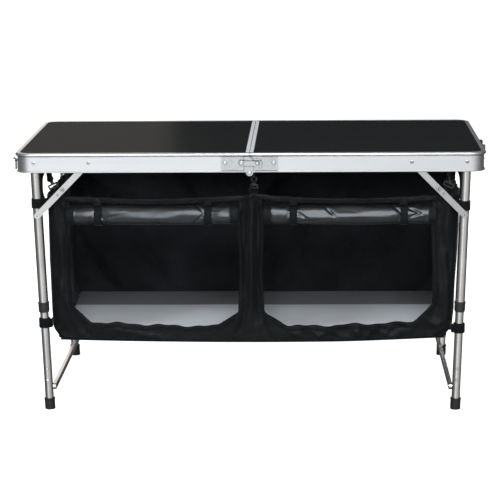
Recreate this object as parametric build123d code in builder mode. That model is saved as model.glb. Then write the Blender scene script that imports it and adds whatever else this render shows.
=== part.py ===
from build123d import *
import os
from math import atan2, cos, degrees, hypot, radians, sin

os.makedirs("parts", exist_ok=True)

# ---------------------------------------------------------------------------
# Driving dimensions, all in millimetres.
# Origin: on the floor under the middle of the table. X runs along the table,
# the front edge is on -Y, +Z is up.
# ---------------------------------------------------------------------------

# table top and its aluminium rail
table_length = 1200.0
table_depth = 600.0
table_height = 680.0
rail_height = 50.0
rail_wall = 2.0
bead_proud = 5.0
bead_radius = 4.5
rim_inset = 7.0
ledge_reach = 12.0
ledge_thickness = 1.5
lip_proud = 2.5
lip_height = 4.5
face_corner_radius = 35.0
panel_thickness = 4.0
panel_recess = 0.8
seam_half_gap = 0.5
seam_rail_width = 9.5
seam_web_depth = 20.0
fit = 0.1

face_x = table_length / 2 - bead_proud
face_y = table_depth / 2 - bead_proud
rail_bottom = table_height - rail_height
panel_top = table_height - panel_recess
panel_bottom = panel_top - panel_thickness
ledge_top = panel_bottom - fit
rim_y = face_y - rim_inset

# leg frames, leaning slightly inwards towards the floor
pivot_x = 550.0
pivot_z = 655.0
lean = radians(1.75)
leg_y = 270.0
leg_length = pivot_z / cos(lean)
upper_radius = 12.5
upper_bore = 11.3
upper_end = 265.0
tube_over_pivot = 6.0
lower_radius = 11.0
lower_bore = 9.6
lower_top = 350.0
collar_bottom = 261.0
collar_top = 287.0
collar_radius = 14.0
foot_height = 29.0
foot_radius = 13.4
foot_floor = 4.0
crossbar_height = 60.0
crossbar_drop = 16.0
crossbar_width = 8.4
crossbar_reach = 278.0
button_height = 110.0
clip_rivet_height = 80.0

# folding brace: two flat links per corner, riveted together at the knee
brace_pivot_x = 410.0
brace_reach = 138.0
link_width = 16.0
link_thickness = 2.0
upper_link_face = 289.0
lower_link_face = 284.0
link_hole = 3.4
shank_radius = 3.2
head_radius = 4.8
head_height = 2.0
washer_radius = 6.0
knee_clearance = 0.2
knee_spacer_radius = 5.0
knee_head_radius = 4.6
knee_tail_radius = 4.4

# centre hinges and seam latches
hinge_pin_z = rail_bottom
lobe_radius = 9.2
leaf_thickness = 1.5
leaf_bottom = rail_bottom + 5.0
leaf_top = rail_bottom + 40.5
leaf_outer_x = 71.0
leaf_inner_x = 12.0
left_leaf_rivet_x = -62.5
right_leaf_rivet_x = 61.0
leaf_rivet_radius = 2.5
leaf_hole_radius = 2.6
leaf_spacer_radius = 4.6
rivet_line = pivot_z
latch_pivot_x = 20.7
stud_x = 19.5
latch_face = table_depth / 2 + 0.3

# hardware on the ends of the folded case
toggle_y = 180.0
toggle_pin_x = face_x + 6.0
toggle_pin_z = 641.0
lever_rise = 10.0
lever_run = 16.0
lever_tip_radius = 1.5
bracket_thickness = 1.5
bracket_z = 644.0
pin_radius = 1.2
handle_half = 45.0
handle_thickness = 13.0
handle_outer_x = toggle_pin_x + lever_run + lever_tip_radius
handle_pin_x = handle_outer_x - handle_thickness / 2
handle_pin_z = 655.0

# fabric organiser hanging under the top
bag_half_length = 525.0
bag_half_depth = 246.0
bag_top = 562.0
bag_bottom = 180.0
bag_centre_gap = 2.0
cloth = 3.0
opening_outer_x = 468.0
opening_inner_x = 31.0
opening_bottom = 218.0
opening_top = 545.0
opening_chamfer = 50.0
floor_bottom = 184.0
floor_top = 188.0
roll_outer_x = 478.0
roll_inner_x = 29.0
roll_z = 514.0
roll_y = 241.0
roll_height = 56.0
roll_depth = 29.0
roll_strap_places = (-394.0, -110.0)
roll_strap_width = 20.0
webbing = 1.2
strap_width = 24.0
left_strap_heights = (548.0, 233.0)
right_strap_heights = (539.0, 218.0)
hook_thickness = 5.0
hook_y = 236.0
hook_tilt = 24.0
hook_height = 590.0
corner_buckle_width = 28.0
centre_buckle_width = 21.0
corner_hook_x = 511.0
corner_hook_rise = 3.0
centre_hook_x = 9.0
corner_strap_x = 502.0
corner_strap_z = 570.0
corner_strap_length = 17.0
centre_strap_z = 569.0
centre_strap_length = 13.0
hook_strap_width = 16.0
hook_strap_thickness = 1.6
corner_tab_x = 523.0
centre_tab_x = 22.0
tab_width = 20.0
tab_bottom = 640.0

# frames that follow the lean of each leg: x inwards, y back, z up the tube
left_leg = Plane(
    origin=(-pivot_x, 0, pivot_z),
    x_dir=(cos(lean), 0, sin(lean)),
    z_dir=(-sin(lean), 0, cos(lean)),
)
right_leg = Plane(
    origin=(pivot_x, 0, pivot_z),
    x_dir=(cos(lean), 0, -sin(lean)),
    z_dir=(sin(lean), 0, cos(lean)),
)

# brace geometry on the left front corner, seen from the front
brace_low = (
    -pivot_x + brace_reach * sin(lean),
    pivot_z - brace_reach * cos(lean),
)
brace_high = (-brace_pivot_x, pivot_z)
brace_span = hypot(brace_high[0] - brace_low[0], brace_high[1] - brace_low[1])
link_difference = (pivot_x - brace_pivot_x) - brace_reach
upper_link_length = (brace_span + link_difference) / 2
lower_link_length = (brace_span - link_difference) / 2
brace_angle = degrees(atan2(brace_high[1] - brace_low[1], brace_high[0] - brace_low[0]))
knee = (
    brace_high[0] - upper_link_length * cos(radians(brace_angle)),
    brace_high[1] - upper_link_length * sin(radians(brace_angle)),
)


def front_plane(distance):
    """Vertical plane facing the front, the given distance in front of centre."""
    return Plane.XZ.offset(distance)


def rivet(x, z, start, length, radius):
    """Pin from y = -start towards the front, added to the open part."""
    with BuildSketch(front_plane(start)) as section:
        with Locations((x, z)):
            Circle(radius)
    extrude(section.sketch, amount=length)


def domed_head(x, z, start):
    """Domed rivet head standing on the plane y = -start."""
    with BuildSketch(front_plane(start)) as section:
        with Locations((x, z)):
            Circle(head_radius)
    extrude(section.sketch, amount=head_height, taper=28)


# ---------------------------------------------------------------------------
# Table top
# ---------------------------------------------------------------------------

with BuildPart() as left_rail:
    with BuildLine() as rail_path:
        front_run = Line((-seam_half_gap, -face_y), (-face_x + face_corner_radius, -face_y))
        front_bend = TangentArc(
            front_run @ 1, (-face_x, -face_y + face_corner_radius), tangent=front_run % 1
        )
        end_run = Line(front_bend @ 1, (-face_x, face_y - face_corner_radius))
        rear_bend = TangentArc(
            end_run @ 1, (-face_x + face_corner_radius, face_y), tangent=end_run % 1
        )
        Line(rear_bend @ 1, (-seam_half_gap, face_y))
    with BuildSketch(
        Plane(origin=(-seam_half_gap, -face_y, rail_bottom), x_dir=(0, -1, 0), z_dir=(-1, 0, 0))
    ):
        with BuildLine():
            Polyline(
                (-rail_wall, 0),
                (lip_proud - 1, 0),
                (lip_proud, 1),
                (lip_proud, lip_height - 1.5),
                (0, lip_height),
                (0, rail_height - 2 * bead_radius - 0.5),
                (0.8, rail_height - 2 * bead_radius),
            )
            ThreePointArc(
                (0.8, rail_height - 2 * bead_radius),
                (bead_proud, rail_height - bead_radius),
                (0.8, rail_height),
            )
            Polyline(
                (0.8, rail_height),
                (-rim_inset + 0.6, rail_height),
                (-rim_inset, rail_height - 0.6),
                (-rim_inset, ledge_top - rail_bottom),
                (-ledge_reach, ledge_top - rail_bottom),
                (-ledge_reach, ledge_top - rail_bottom - ledge_thickness),
                (-rail_wall, ledge_top - rail_bottom - ledge_thickness),
                (-rail_wall, 0),
            )
        make_face()
    sweep(path=rail_path.wires()[0])
    # rivet holes for the leg pivots and the brace pivots
    with Locations(
        Location((-pivot_x, 0, pivot_z), (90, 0, 0)),
        Location((-brace_pivot_x, 0, pivot_z), (90, 0, 0)),
    ):
        Cylinder(radius=shank_radius + fit, height=table_depth, mode=Mode.SUBTRACT)
    # the bottom lip stops short of each hinge, and the wall clears its pin
    with Locations((0, -face_y - 5, rail_bottom), (0, face_y + 5, rail_bottom)):
        Box(27, 10, 2 * lip_height + 0.4, mode=Mode.SUBTRACT)
    with Locations(Location((0, 0, hinge_pin_z), (90, 0, 0))):
        Cylinder(radius=5.6, height=table_depth, mode=Mode.SUBTRACT)

with BuildPart() as right_rail:
    mirror(left_rail.part, about=Plane.YZ)

with BuildPart() as left_panel:
    with BuildSketch(Plane.XY.offset(panel_bottom)) as panel_outline:
        panel_outer = face_x - rim_inset - fit
        panel_inner = seam_half_gap + seam_rail_width + fit
        with Locations((-(panel_outer + panel_inner) / 2, 0)):
            Rectangle(panel_outer - panel_inner, 2 * (rim_y - fit))
        fillet(
            panel_outline.vertices().group_by(Axis.X)[0],
            radius=face_corner_radius - rim_inset - fit,
        )
    extrude(amount=panel_thickness)

with BuildPart() as right_panel:
    mirror(left_panel.part, about=Plane.YZ)

with BuildPart() as left_seam_rail:
    seam_mid = -(seam_half_gap + seam_rail_width / 2)
    with BuildSketch(Plane.XY.offset(ledge_top + fit)) as seam_cap:
        with Locations((seam_mid, 0)):
            Rectangle(seam_rail_width, 2 * (rim_y - fit))
    extrude(amount=table_height - ledge_top - fit)
    top_edges = left_seam_rail.edges().filter_by(Axis.Y).group_by(Axis.Z)[-1]
    fillet(top_edges, radius=1.0)
    with BuildSketch(Plane.XY.offset(ledge_top + fit - seam_web_depth)):
        with Locations((seam_mid, 0)):
            Rectangle(seam_rail_width, 2 * (face_y - ledge_reach - fit))
        with Locations((seam_mid - 1.5, 0)):
            Rectangle(
                seam_rail_width - 3,
                2 * (face_y - ledge_reach - 3),
                mode=Mode.SUBTRACT,
            )
    extrude(amount=seam_web_depth)

with BuildPart() as right_seam_rail:
    mirror(left_seam_rail.part, about=Plane.YZ)

# ---------------------------------------------------------------------------
# Centre hinges, their rivets and the seam latches
# ---------------------------------------------------------------------------

with BuildPart() as left_hinge_leaves:
    with BuildSketch(front_plane(face_y)):
        with Locations((-(leaf_outer_x + leaf_inner_x) / 2, (leaf_top + leaf_bottom) / 2)):
            RectangleRounded(leaf_outer_x - leaf_inner_x, leaf_top - leaf_bottom, 1.5)
        with Locations((left_leaf_rivet_x, rivet_line), (-latch_pivot_x, rivet_line)):
            Circle(leaf_hole_radius, mode=Mode.SUBTRACT)
    extrude(amount=leaf_thickness)
    # tongue stepped forward over the other leaf, with the pin lobe at its foot
    with BuildSketch(front_plane(face_y + leaf_thickness)) as tongue:
        with BuildLine():
            Polyline(
                (-13.5, leaf_top - 0.5),
                (-13.5, hinge_pin_z + 4),
                (-lobe_radius, hinge_pin_z + 2),
                (-lobe_radius, hinge_pin_z),
                (lobe_radius, hinge_pin_z),
                (lobe_radius, leaf_top - 12.5),
            )
            RadiusArc((lobe_radius, leaf_top - 12.5), (lobe_radius - 12, leaf_top - 0.5), -12)
            Line((lobe_radius - 12, leaf_top - 0.5), (-13.5, leaf_top - 0.5))
        make_face()
        with Locations((0, hinge_pin_z)):
            Circle(lobe_radius)
            Circle(leaf_hole_radius, mode=Mode.SUBTRACT)
    extrude(amount=leaf_thickness)
    mirror(about=Plane.XZ)

with BuildPart() as right_hinge_leaves:
    with BuildSketch(front_plane(face_y)):
        with Locations(((leaf_outer_x + 0.6) / 2, (leaf_top + leaf_bottom) / 2)):
            RectangleRounded(leaf_outer_x - 0.6, leaf_top - leaf_bottom, 1.5)
        with Locations((lobe_radius / 2 + 0.3, hinge_pin_z + 4)):
            Rectangle(lobe_radius - 0.6, 8)
        with Locations((0, hinge_pin_z)):
            Circle(lobe_radius)
            Circle(leaf_hole_radius, mode=Mode.SUBTRACT)
        with Locations((stud_x, rivet_line), (right_leaf_rivet_x, rivet_line)):
            Circle(leaf_hole_radius, mode=Mode.SUBTRACT)
    extrude(amount=leaf_thickness - fit)
    mirror(about=Plane.XZ)

with BuildPart() as left_hinge_rivets:
    # plain rivet
    rivet(left_leaf_rivet_x, rivet_line, face_y, leaf_thickness, leaf_rivet_radius)
    domed_head(left_leaf_rivet_x, rivet_line, face_y + leaf_thickness)
    # latch pivot with its spacer
    spacer_start = face_y + leaf_thickness
    spacer_length = latch_face - spacer_start - fit
    rivet(-latch_pivot_x, rivet_line, face_y, leaf_thickness, leaf_rivet_radius)
    rivet(-latch_pivot_x, rivet_line, spacer_start, spacer_length, leaf_spacer_radius)
    rivet(-latch_pivot_x, rivet_line, latch_face - 1, leaf_thickness + 1.2, leaf_rivet_radius)
    domed_head(-latch_pivot_x, rivet_line, latch_face + leaf_thickness + 0.2)
    # hinge pin through both lobes
    rivet(0, hinge_pin_z, face_y - 1.6, 1.5, leaf_spacer_radius)
    rivet(0, hinge_pin_z, face_y - 0.2, 2 * leaf_thickness + 0.4, 2.4)
    domed_head(0, hinge_pin_z, face_y + 2 * leaf_thickness + fit)
    mirror(about=Plane.XZ)

with BuildPart() as right_hinge_rivets:
    rivet(right_leaf_rivet_x, rivet_line, face_y, leaf_thickness, leaf_rivet_radius)
    domed_head(right_leaf_rivet_x, rivet_line, face_y + leaf_thickness)
    # latch stud with a flat washer head
    rivet(stud_x, rivet_line, face_y, leaf_thickness, leaf_rivet_radius)
    rivet(stud_x, rivet_line, face_y + leaf_thickness - fit, latch_face - face_y + 0.5, 3.2)
    domed_head(stud_x, rivet_line, latch_face + leaf_thickness + 0.2)
    mirror(about=Plane.XZ)

with BuildPart() as front_latch:
    with BuildSketch(front_plane(latch_face)) as latch_outline:
        with Locations((-latch_pivot_x, rivet_line)):
            Circle(6.6)
        with BuildLine():
            Polyline(
                (-latch_pivot_x, rivet_line + 4.5),
                (stud_x - 6, rivet_line + 4.5),
                (stud_x - 5, rivet_line + 8),
                (stud_x + 6, rivet_line + 8),
                (stud_x + 11, rivet_line + 3),
                (stud_x + 11.5, rivet_line - 6),
                (stud_x + 10, rivet_line - 13),
                (stud_x + 7.5, rivet_line - 14),
                (stud_x + 6.4, rivet_line - 12),
                (stud_x + 6.4, rivet_line - 8.5),
                (-latch_pivot_x, rivet_line - 6.6),
                (-latch_pivot_x, rivet_line + 4.5),
            )
        make_face()
        fillet(latch_outline.vertices().group_by(Axis.X)[-3:-1], radius=1.5)
        with Locations((-latch_pivot_x, rivet_line)):
            Circle(2.7, mode=Mode.SUBTRACT)
        # open mouth that lets the stud leave downwards
        with Locations((stud_x + 1.2, rivet_line)):
            SlotCenterToCenter(2.6, 7.4, mode=Mode.SUBTRACT)
        with Locations((stud_x + 1.2, rivet_line - 10)):
            Rectangle(10.0, 20, mode=Mode.SUBTRACT)
    extrude(amount=leaf_thickness)
    # finger tab standing out from the head of the hook
    with Locations((stud_x + 0.5, -latch_face - 2.6, rivet_line + 9)):
        Box(17, 5.2, 2.2)
    tab_corners = front_latch.edges().filter_by(Axis.Z).group_by(Axis.Y)[0]
    fillet(tab_corners, radius=2.4)

with BuildPart() as rear_latch:
    mirror(front_latch.part, about=Plane.XZ)

# ---------------------------------------------------------------------------
# Rivets carried by the rail: leg pivots and upper brace pivots
# ---------------------------------------------------------------------------

inner_wall = face_y - rail_wall
tube_front = leg_y + upper_radius
tube_back = leg_y - upper_radius

with BuildPart() as left_rail_rivets:
    # leg pivot: head outside, spacer bush inside, tail behind the tube
    domed_head(-pivot_x, pivot_z, face_y)
    rivet(-pivot_x, pivot_z, tube_back - 1, face_y - tube_back + 1, shank_radius)
    rivet(-pivot_x, pivot_z, tube_front + fit, inner_wall - tube_front - 2 * fit, 7.0)
    rivet(-pivot_x, pivot_z, tube_back - 2, 1.9, head_radius)
    # brace pivot: head outside, washer inside, tail behind the upper link
    domed_head(-brace_pivot_x, pivot_z, face_y)
    rivet(-brace_pivot_x, pivot_z, upper_link_face - 1.4, face_y - upper_link_face + 1.4, shank_radius)
    rivet(
        -brace_pivot_x,
        pivot_z,
        upper_link_face + link_thickness + fit,
        inner_wall - upper_link_face - link_thickness - 2 * fit,
        washer_radius,
    )
    rivet(-brace_pivot_x, pivot_z, upper_link_face - 1.4, 1.3, head_radius - 0.3)
    mirror(about=Plane.XZ)

with BuildPart() as right_rail_rivets:
    mirror(left_rail_rivets.part, about=Plane.YZ)

# ---------------------------------------------------------------------------
# Leg frames
# ---------------------------------------------------------------------------

with BuildPart() as left_upper_legs:
    with BuildSketch(left_leg.offset(upper_end - leg_length)):
        with Locations((0, -leg_y), (0, leg_y)):
            Circle(upper_radius)
            Circle(upper_bore, mode=Mode.SUBTRACT)
    extrude(amount=leg_length + tube_over_pivot - upper_end)
    with Locations(
        Location((-pivot_x, 0, pivot_z), (90, 0, 0)),
        Location((brace_low[0], 0, brace_low[1]), (90, 0, 0)),
    ):
        Cylinder(radius=shank_radius + fit, height=table_depth, mode=Mode.SUBTRACT)

with BuildPart() as left_collars:
    with BuildSketch(left_leg.offset(upper_end - leg_length)):
        with Locations((0, -leg_y), (0, leg_y)):
            Circle(collar_radius)
            Circle(upper_radius + fit, mode=Mode.SUBTRACT)
    extrude(amount=collar_top - upper_end)
    with BuildSketch(left_leg.offset(collar_bottom - leg_length)):
        with Locations((0, -leg_y), (0, leg_y)):
            Circle(collar_radius - 0.8)
            Circle(lower_radius + 0.2, mode=Mode.SUBTRACT)
    extrude(amount=upper_end - collar_bottom)
    # flared mouth at the top of the collar
    with BuildSketch(left_leg.offset(collar_top - 3 - leg_length)):
        with Locations((0, -leg_y), (0, leg_y)):
            Circle(collar_radius + 0.7)
            Circle(upper_radius + fit, mode=Mode.SUBTRACT)
    extrude(amount=3)

with BuildPart() as left_link_rivets:
    # lower brace pivot: washer against the tube, flat head in front of the link
    head_start = lower_link_face + link_thickness + fit
    rivet(*brace_low, tube_front - 3, head_start - tube_front + 3.4, shank_radius)
    rivet(*brace_low, tube_front + fit, lower_link_face - tube_front - 2 * fit, washer_radius)
    rivet(*brace_low, head_start, 1.1, head_radius - 0.2)
    mirror(about=Plane.XZ)

with BuildPart() as left_lower_legs:
    with BuildSketch(left_leg.offset(foot_floor + 0.2 - leg_length)):
        with Locations((0, -leg_y), (0, leg_y)):
            Circle(lower_radius)
            Circle(lower_bore, mode=Mode.SUBTRACT)
    extrude(amount=lower_top - foot_floor - 0.2)
    for height, radius in ((button_height, 3.6), (clip_rivet_height, 4.4)):
        with Locations(
            left_leg.location
            * Location((0, 0, height - leg_length))
            * Location((0, 0, 0), (90, 0, 0))
        ):
            Cylinder(radius=radius, height=table_depth, mode=Mode.SUBTRACT)

with BuildPart() as left_leg_buttons:
    # spring button and clip rivet on the outer side of each lower tube
    for height, radius, rise in ((button_height, 3.4, 1.3), (clip_rivet_height, 4.2, 0.9)):
        level = left_leg.origin + left_leg.z_dir * (height - leg_length)
        with BuildSketch(front_plane(leg_y + lower_bore - 0.8)):
            with Locations((level.X, level.Z)):
                Circle(radius)
        extrude(amount=lower_radius - lower_bore + 0.8)
        with BuildSketch(front_plane(leg_y + lower_radius)):
            with Locations((level.X, level.Z)):
                Circle(radius)
        extrude(amount=rise, taper=30)
    # crossbar rivet sunk in the groove of the bar
    with Locations(
        left_leg.location
        * Location((lower_radius + crossbar_width - 0.8, -leg_y + 14, crossbar_height - leg_length))
        * Location((0, 0, 0), (0, 90, 0))
    ):
        Cylinder(radius=3.0, height=1.0)
    mirror(about=Plane.XZ)

with BuildPart() as left_crossbar:
    with Locations(
        left_leg.location
        * Location((lower_radius + 0.1 + crossbar_width / 2, 0, crossbar_height - leg_length))
    ):
        Box(crossbar_width, 2 * crossbar_reach, crossbar_drop)
    end_edges = left_crossbar.edges().filter_by(Axis((0, 0, 0), left_leg.x_dir))
    fillet(end_edges, radius=crossbar_drop / 2 - 0.5)
    # shallow channel along the inner side of the bar
    with Locations(
        left_leg.location
        * Location((lower_radius + 0.1 + crossbar_width, 0, crossbar_height - leg_length))
    ):
        Box(2.8, 2 * (crossbar_reach - 12), 7.0, mode=Mode.SUBTRACT)

with BuildPart() as left_feet:
    with BuildSketch(left_leg.offset(-leg_length - 1)):
        with Locations((0, -leg_y), (0, leg_y)):
            Circle(foot_radius)
    extrude(amount=foot_height + 1)
    with BuildSketch(left_leg.offset(foot_floor - leg_length)):
        with Locations((0, -leg_y), (0, leg_y)):
            Circle(lower_radius + fit)
    extrude(amount=foot_height, mode=Mode.SUBTRACT)
    # rolled rim around the mouth of the cap
    with BuildSketch(left_leg.offset(foot_height - 3 - leg_length)):
        with Locations((0, -leg_y), (0, leg_y)):
            Circle(foot_radius + 0.8)
            Circle(lower_radius + fit, mode=Mode.SUBTRACT)
    extrude(amount=3)
    # flat sole on the floor
    with Locations((-pivot_x, 0, -10)):
        Box(200, table_depth, 20, mode=Mode.SUBTRACT)

with BuildPart() as left_upper_links:
    link_mid = ((brace_high[0] + knee[0]) / 2, (brace_high[1] + knee[1]) / 2)
    with BuildSketch(front_plane(upper_link_face)):
        with Locations(link_mid):
            SlotCenterToCenter(upper_link_length, link_width, rotation=brace_angle)
        with Locations(brace_high):
            Circle(link_hole, mode=Mode.SUBTRACT)
    extrude(amount=link_thickness)
    # knee rivet: head and spacer are carried by the upper link
    spacer_start = lower_link_face + link_thickness + knee_clearance
    rivet(*knee, upper_link_face + link_thickness, 1.5, knee_head_radius)
    rivet(*knee, spacer_start, upper_link_face - spacer_start, knee_spacer_radius)
    mirror(about=Plane.XZ)

with BuildPart() as left_lower_links:
    link_mid = ((brace_low[0] + knee[0]) / 2, (brace_low[1] + knee[1]) / 2)
    dimple = (
        knee[0] - 20 * cos(radians(brace_angle)),
        knee[1] - 20 * sin(radians(brace_angle)),
    )
    with BuildSketch(front_plane(lower_link_face)):
        with Locations(link_mid):
            SlotCenterToCenter(lower_link_length, link_width, rotation=brace_angle)
        with Locations(brace_low):
            Circle(link_hole, mode=Mode.SUBTRACT)
    extrude(amount=link_thickness)
    with BuildSketch(front_plane(lower_link_face + link_thickness - 0.7)):
        with Locations(dimple):
            Circle(2.6)
    extrude(amount=2, mode=Mode.SUBTRACT)
    # tail of the knee rivet
    rivet(*knee, lower_link_face - 1.2, 1.2, knee_tail_radius)
    mirror(about=Plane.XZ)

with BuildPart() as right_upper_legs:
    mirror(left_upper_legs.part, about=Plane.YZ)

with BuildPart() as right_collars:
    mirror(left_collars.part, about=Plane.YZ)

with BuildPart() as right_link_rivets:
    mirror(left_link_rivets.part, about=Plane.YZ)

with BuildPart() as right_lower_legs:
    mirror(left_lower_legs.part, about=Plane.YZ)

with BuildPart() as right_leg_buttons:
    mirror(left_leg_buttons.part, about=Plane.YZ)

with BuildPart() as right_crossbar:
    mirror(left_crossbar.part, about=Plane.YZ)

with BuildPart() as right_feet:
    mirror(left_feet.part, about=Plane.YZ)

with BuildPart() as right_upper_links:
    mirror(left_upper_links.part, about=Plane.YZ)

with BuildPart() as right_lower_links:
    mirror(left_lower_links.part, about=Plane.YZ)

# ---------------------------------------------------------------------------
# End hardware: toggle latches on the left, their catches and the carry handle on the right
# ---------------------------------------------------------------------------

with BuildPart() as left_end_brackets:
    # toggle base: plate, two ears and the pin between them
    with Locations((-face_x - bracket_thickness / 2, -toggle_y, bracket_z)):
        Box(bracket_thickness, 22, 16)
    with Locations(
        (-face_x - 4.75, -toggle_y - 8, toggle_pin_z),
        (-face_x - 4.75, -toggle_y + 8, toggle_pin_z),
    ):
        Box(6.5, 1.6, 8)
    with Locations(Location((-toggle_pin_x, -toggle_y, toggle_pin_z), (90, 0, 0))):
        Cylinder(radius=pin_radius, height=17.6)
    mirror(about=Plane.XZ)

lever_angle = degrees(atan2(lever_rise, lever_run))
bail_x = -toggle_pin_x - 10.8
bail_z = toggle_pin_z + 4.0
bail_drop = 22.0
bail_half = 8.8

with BuildPart() as front_toggle:
    with BuildSketch(front_plane(toggle_y - 6.4)) as lever_side:
        with Locations((-toggle_pin_x, toggle_pin_z)):
            Circle(2.8)
        with Locations((-toggle_pin_x - lever_run / 2, toggle_pin_z + lever_rise / 2)):
            Rectangle(hypot(lever_run, lever_rise), 1.8, rotation=-lever_angle)
        with Locations((-toggle_pin_x - lever_run, toggle_pin_z + lever_rise)):
            Circle(lever_tip_radius)
        with Locations((bail_x, bail_z)):
            Circle(2.6)
            Circle(pin_radius + 0.2, mode=Mode.SUBTRACT)
        with Locations((-toggle_pin_x, toggle_pin_z)):
            Circle(pin_radius + 0.2, mode=Mode.SUBTRACT)
    extrude(amount=12.8)

with BuildPart() as front_bail:
    with Locations(
        Location((bail_x, -toggle_y, bail_z), (90, 0, 0)),
        Location((bail_x, -toggle_y, bail_z - bail_drop), (90, 0, 0)),
    ):
        Cylinder(radius=pin_radius, height=2 * bail_half)
    with Locations(
        (bail_x, -toggle_y - bail_half, bail_z - bail_drop / 2),
        (bail_x, -toggle_y + bail_half, bail_z - bail_drop / 2),
    ):
        Cylinder(radius=pin_radius, height=bail_drop)
    with Locations(
        (bail_x, -toggle_y - bail_half, bail_z),
        (bail_x, -toggle_y + bail_half, bail_z),
        (bail_x, -toggle_y - bail_half, bail_z - bail_drop),
        (bail_x, -toggle_y + bail_half, bail_z - bail_drop),
    ):
        Sphere(radius=pin_radius)

with BuildPart() as rear_toggle:
    mirror(front_toggle.part, about=Plane.XZ)

with BuildPart() as rear_bail:
    mirror(front_bail.part, about=Plane.XZ)

with BuildPart() as handle:
    # U-shaped pull: two arms and a grip, with a pin at the top of each arm
    with BuildSketch(Plane.YZ.offset(handle_outer_x - handle_thickness)):
        with Locations((0, handle_pin_z - 7)):
            RectangleRounded(2 * handle_half - 4, 23, 3)
        with Locations((0, handle_pin_z - 1)):
            RectangleRounded(2 * handle_half - 20, 15, 3, mode=Mode.SUBTRACT)
        with Locations((0, handle_pin_z + 3)):
            Rectangle(2 * handle_half - 20, 10, mode=Mode.SUBTRACT)
    extrude(amount=handle_thickness)
    outer_edges = handle.faces().sort_by(Axis.X)[-1].edges()
    fillet(outer_edges, radius=2.0)
    inner_edges = handle.faces().sort_by(Axis.X)[0].edges()
    fillet(inner_edges, radius=2.0)
    with Locations(Location((handle_pin_x, 0, handle_pin_z), (90, 0, 0))):
        Cylinder(radius=1.9, height=2 * handle_half + 4)
    with Locations((handle_pin_x, 0, handle_pin_z)):
        Box(8, 2 * handle_half - 20, 8, mode=Mode.SUBTRACT)

with BuildPart() as right_end_brackets:
    # catch for each toggle: plate with an upturned tongue
    with Locations((face_x + bracket_thickness / 2, -toggle_y, bracket_z)):
        Box(bracket_thickness, 22, 16)
    with Locations((face_x + 4.5, -toggle_y, bracket_z)):
        Box(6.0, 16, 1.8)
    with Locations((face_x + 6.9, -toggle_y, bracket_z + 2.4)):
        Box(1.8, 16, 5.0)
    # handle bracket: plate and one ear with the pin hole
    with Locations((face_x + bracket_thickness / 2, -handle_half - 4, handle_pin_z)):
        Box(bracket_thickness, 18, 18)
    with Locations(((face_x + handle_pin_x + 5) / 2, -handle_half - 0.5, handle_pin_z)):
        Box(handle_pin_x + 5 - face_x, 3.0, 10)
    with Locations(Location((handle_pin_x, -handle_half, handle_pin_z), (90, 0, 0))):
        Cylinder(radius=2.1, height=12, mode=Mode.SUBTRACT)
    mirror(about=Plane.XZ)

# ---------------------------------------------------------------------------
# Fabric organiser: each half is built from separate sewn panels
# ---------------------------------------------------------------------------

with BuildPart() as left_front_wall:
    with BuildSketch(front_plane(bag_half_depth - cloth)) as front_outline:
        with Locations((-(bag_half_length + bag_centre_gap) / 2, (bag_top + bag_bottom) / 2)):
            Rectangle(bag_half_length - bag_centre_gap, bag_top - bag_bottom)
        with BuildLine():
            Polyline(
                (-opening_outer_x, opening_top),
                (-opening_outer_x, opening_bottom + opening_chamfer),
                (-opening_outer_x + opening_chamfer, opening_bottom),
                (-opening_inner_x - opening_chamfer, opening_bottom),
                (-opening_inner_x, opening_bottom + 0.7 * opening_chamfer),
                (-opening_inner_x, opening_top),
                close=True,
            )
        make_face(mode=Mode.SUBTRACT)
    extrude(amount=cloth)

with BuildPart() as left_back_wall:
    with BuildSketch(Plane.XZ.offset(-bag_half_depth)):
        with Locations((-(bag_half_length + bag_centre_gap) / 2, (bag_top + bag_bottom) / 2)):
            Rectangle(bag_half_length - bag_centre_gap, bag_top - bag_bottom)
    extrude(amount=cloth)

with BuildPart() as left_end_wall:
    with Locations((-bag_half_length + cloth / 2, 0, (bag_top + bag_bottom) / 2)):
        Box(cloth, 2 * (bag_half_depth - cloth - 0.5), bag_top - bag_bottom)

with BuildPart() as centre_divider:
    with Locations((-bag_centre_gap - cloth / 2, 0, (bag_top + floor_top) / 2 + 1)):
        Box(cloth, 2 * (bag_half_depth - cloth - 0.5), bag_top - floor_top - 2)

with BuildPart() as left_floor_board:
    floor_outer = bag_half_length - cloth - 1
    with BuildSketch(Plane.XY.offset(floor_bottom)):
        with Locations((-(floor_outer + bag_centre_gap) / 2, 0)):
            RectangleRounded(floor_outer - bag_centre_gap, 2 * (bag_half_depth - cloth - 1), 6)
    extrude(amount=floor_top - floor_bottom)

with BuildPart() as left_door_roll:
    with BuildSketch(Plane.YZ.offset(-roll_outer_x)):
        with Locations((-roll_y, roll_z)):
            SlotOverall(roll_height, roll_depth, rotation=90)
    extrude(amount=roll_outer_x - roll_inner_x - bag_centre_gap)
    # keep the roll clear of the hem above and the posts beside the opening
    with Locations((0, -bag_half_depth + cloth / 2, opening_top + 20)):
        Box(table_length, cloth + 0.6, 40.6, mode=Mode.SUBTRACT)
    with Locations((-opening_outer_x - 20, -bag_half_depth + cloth / 2, roll_z)):
        Box(40.6, cloth + 0.6, 200, mode=Mode.SUBTRACT)
    with Locations((-opening_inner_x + 20, -bag_half_depth + cloth / 2, roll_z)):
        Box(40.6, cloth + 0.6, 200, mode=Mode.SUBTRACT)

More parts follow.
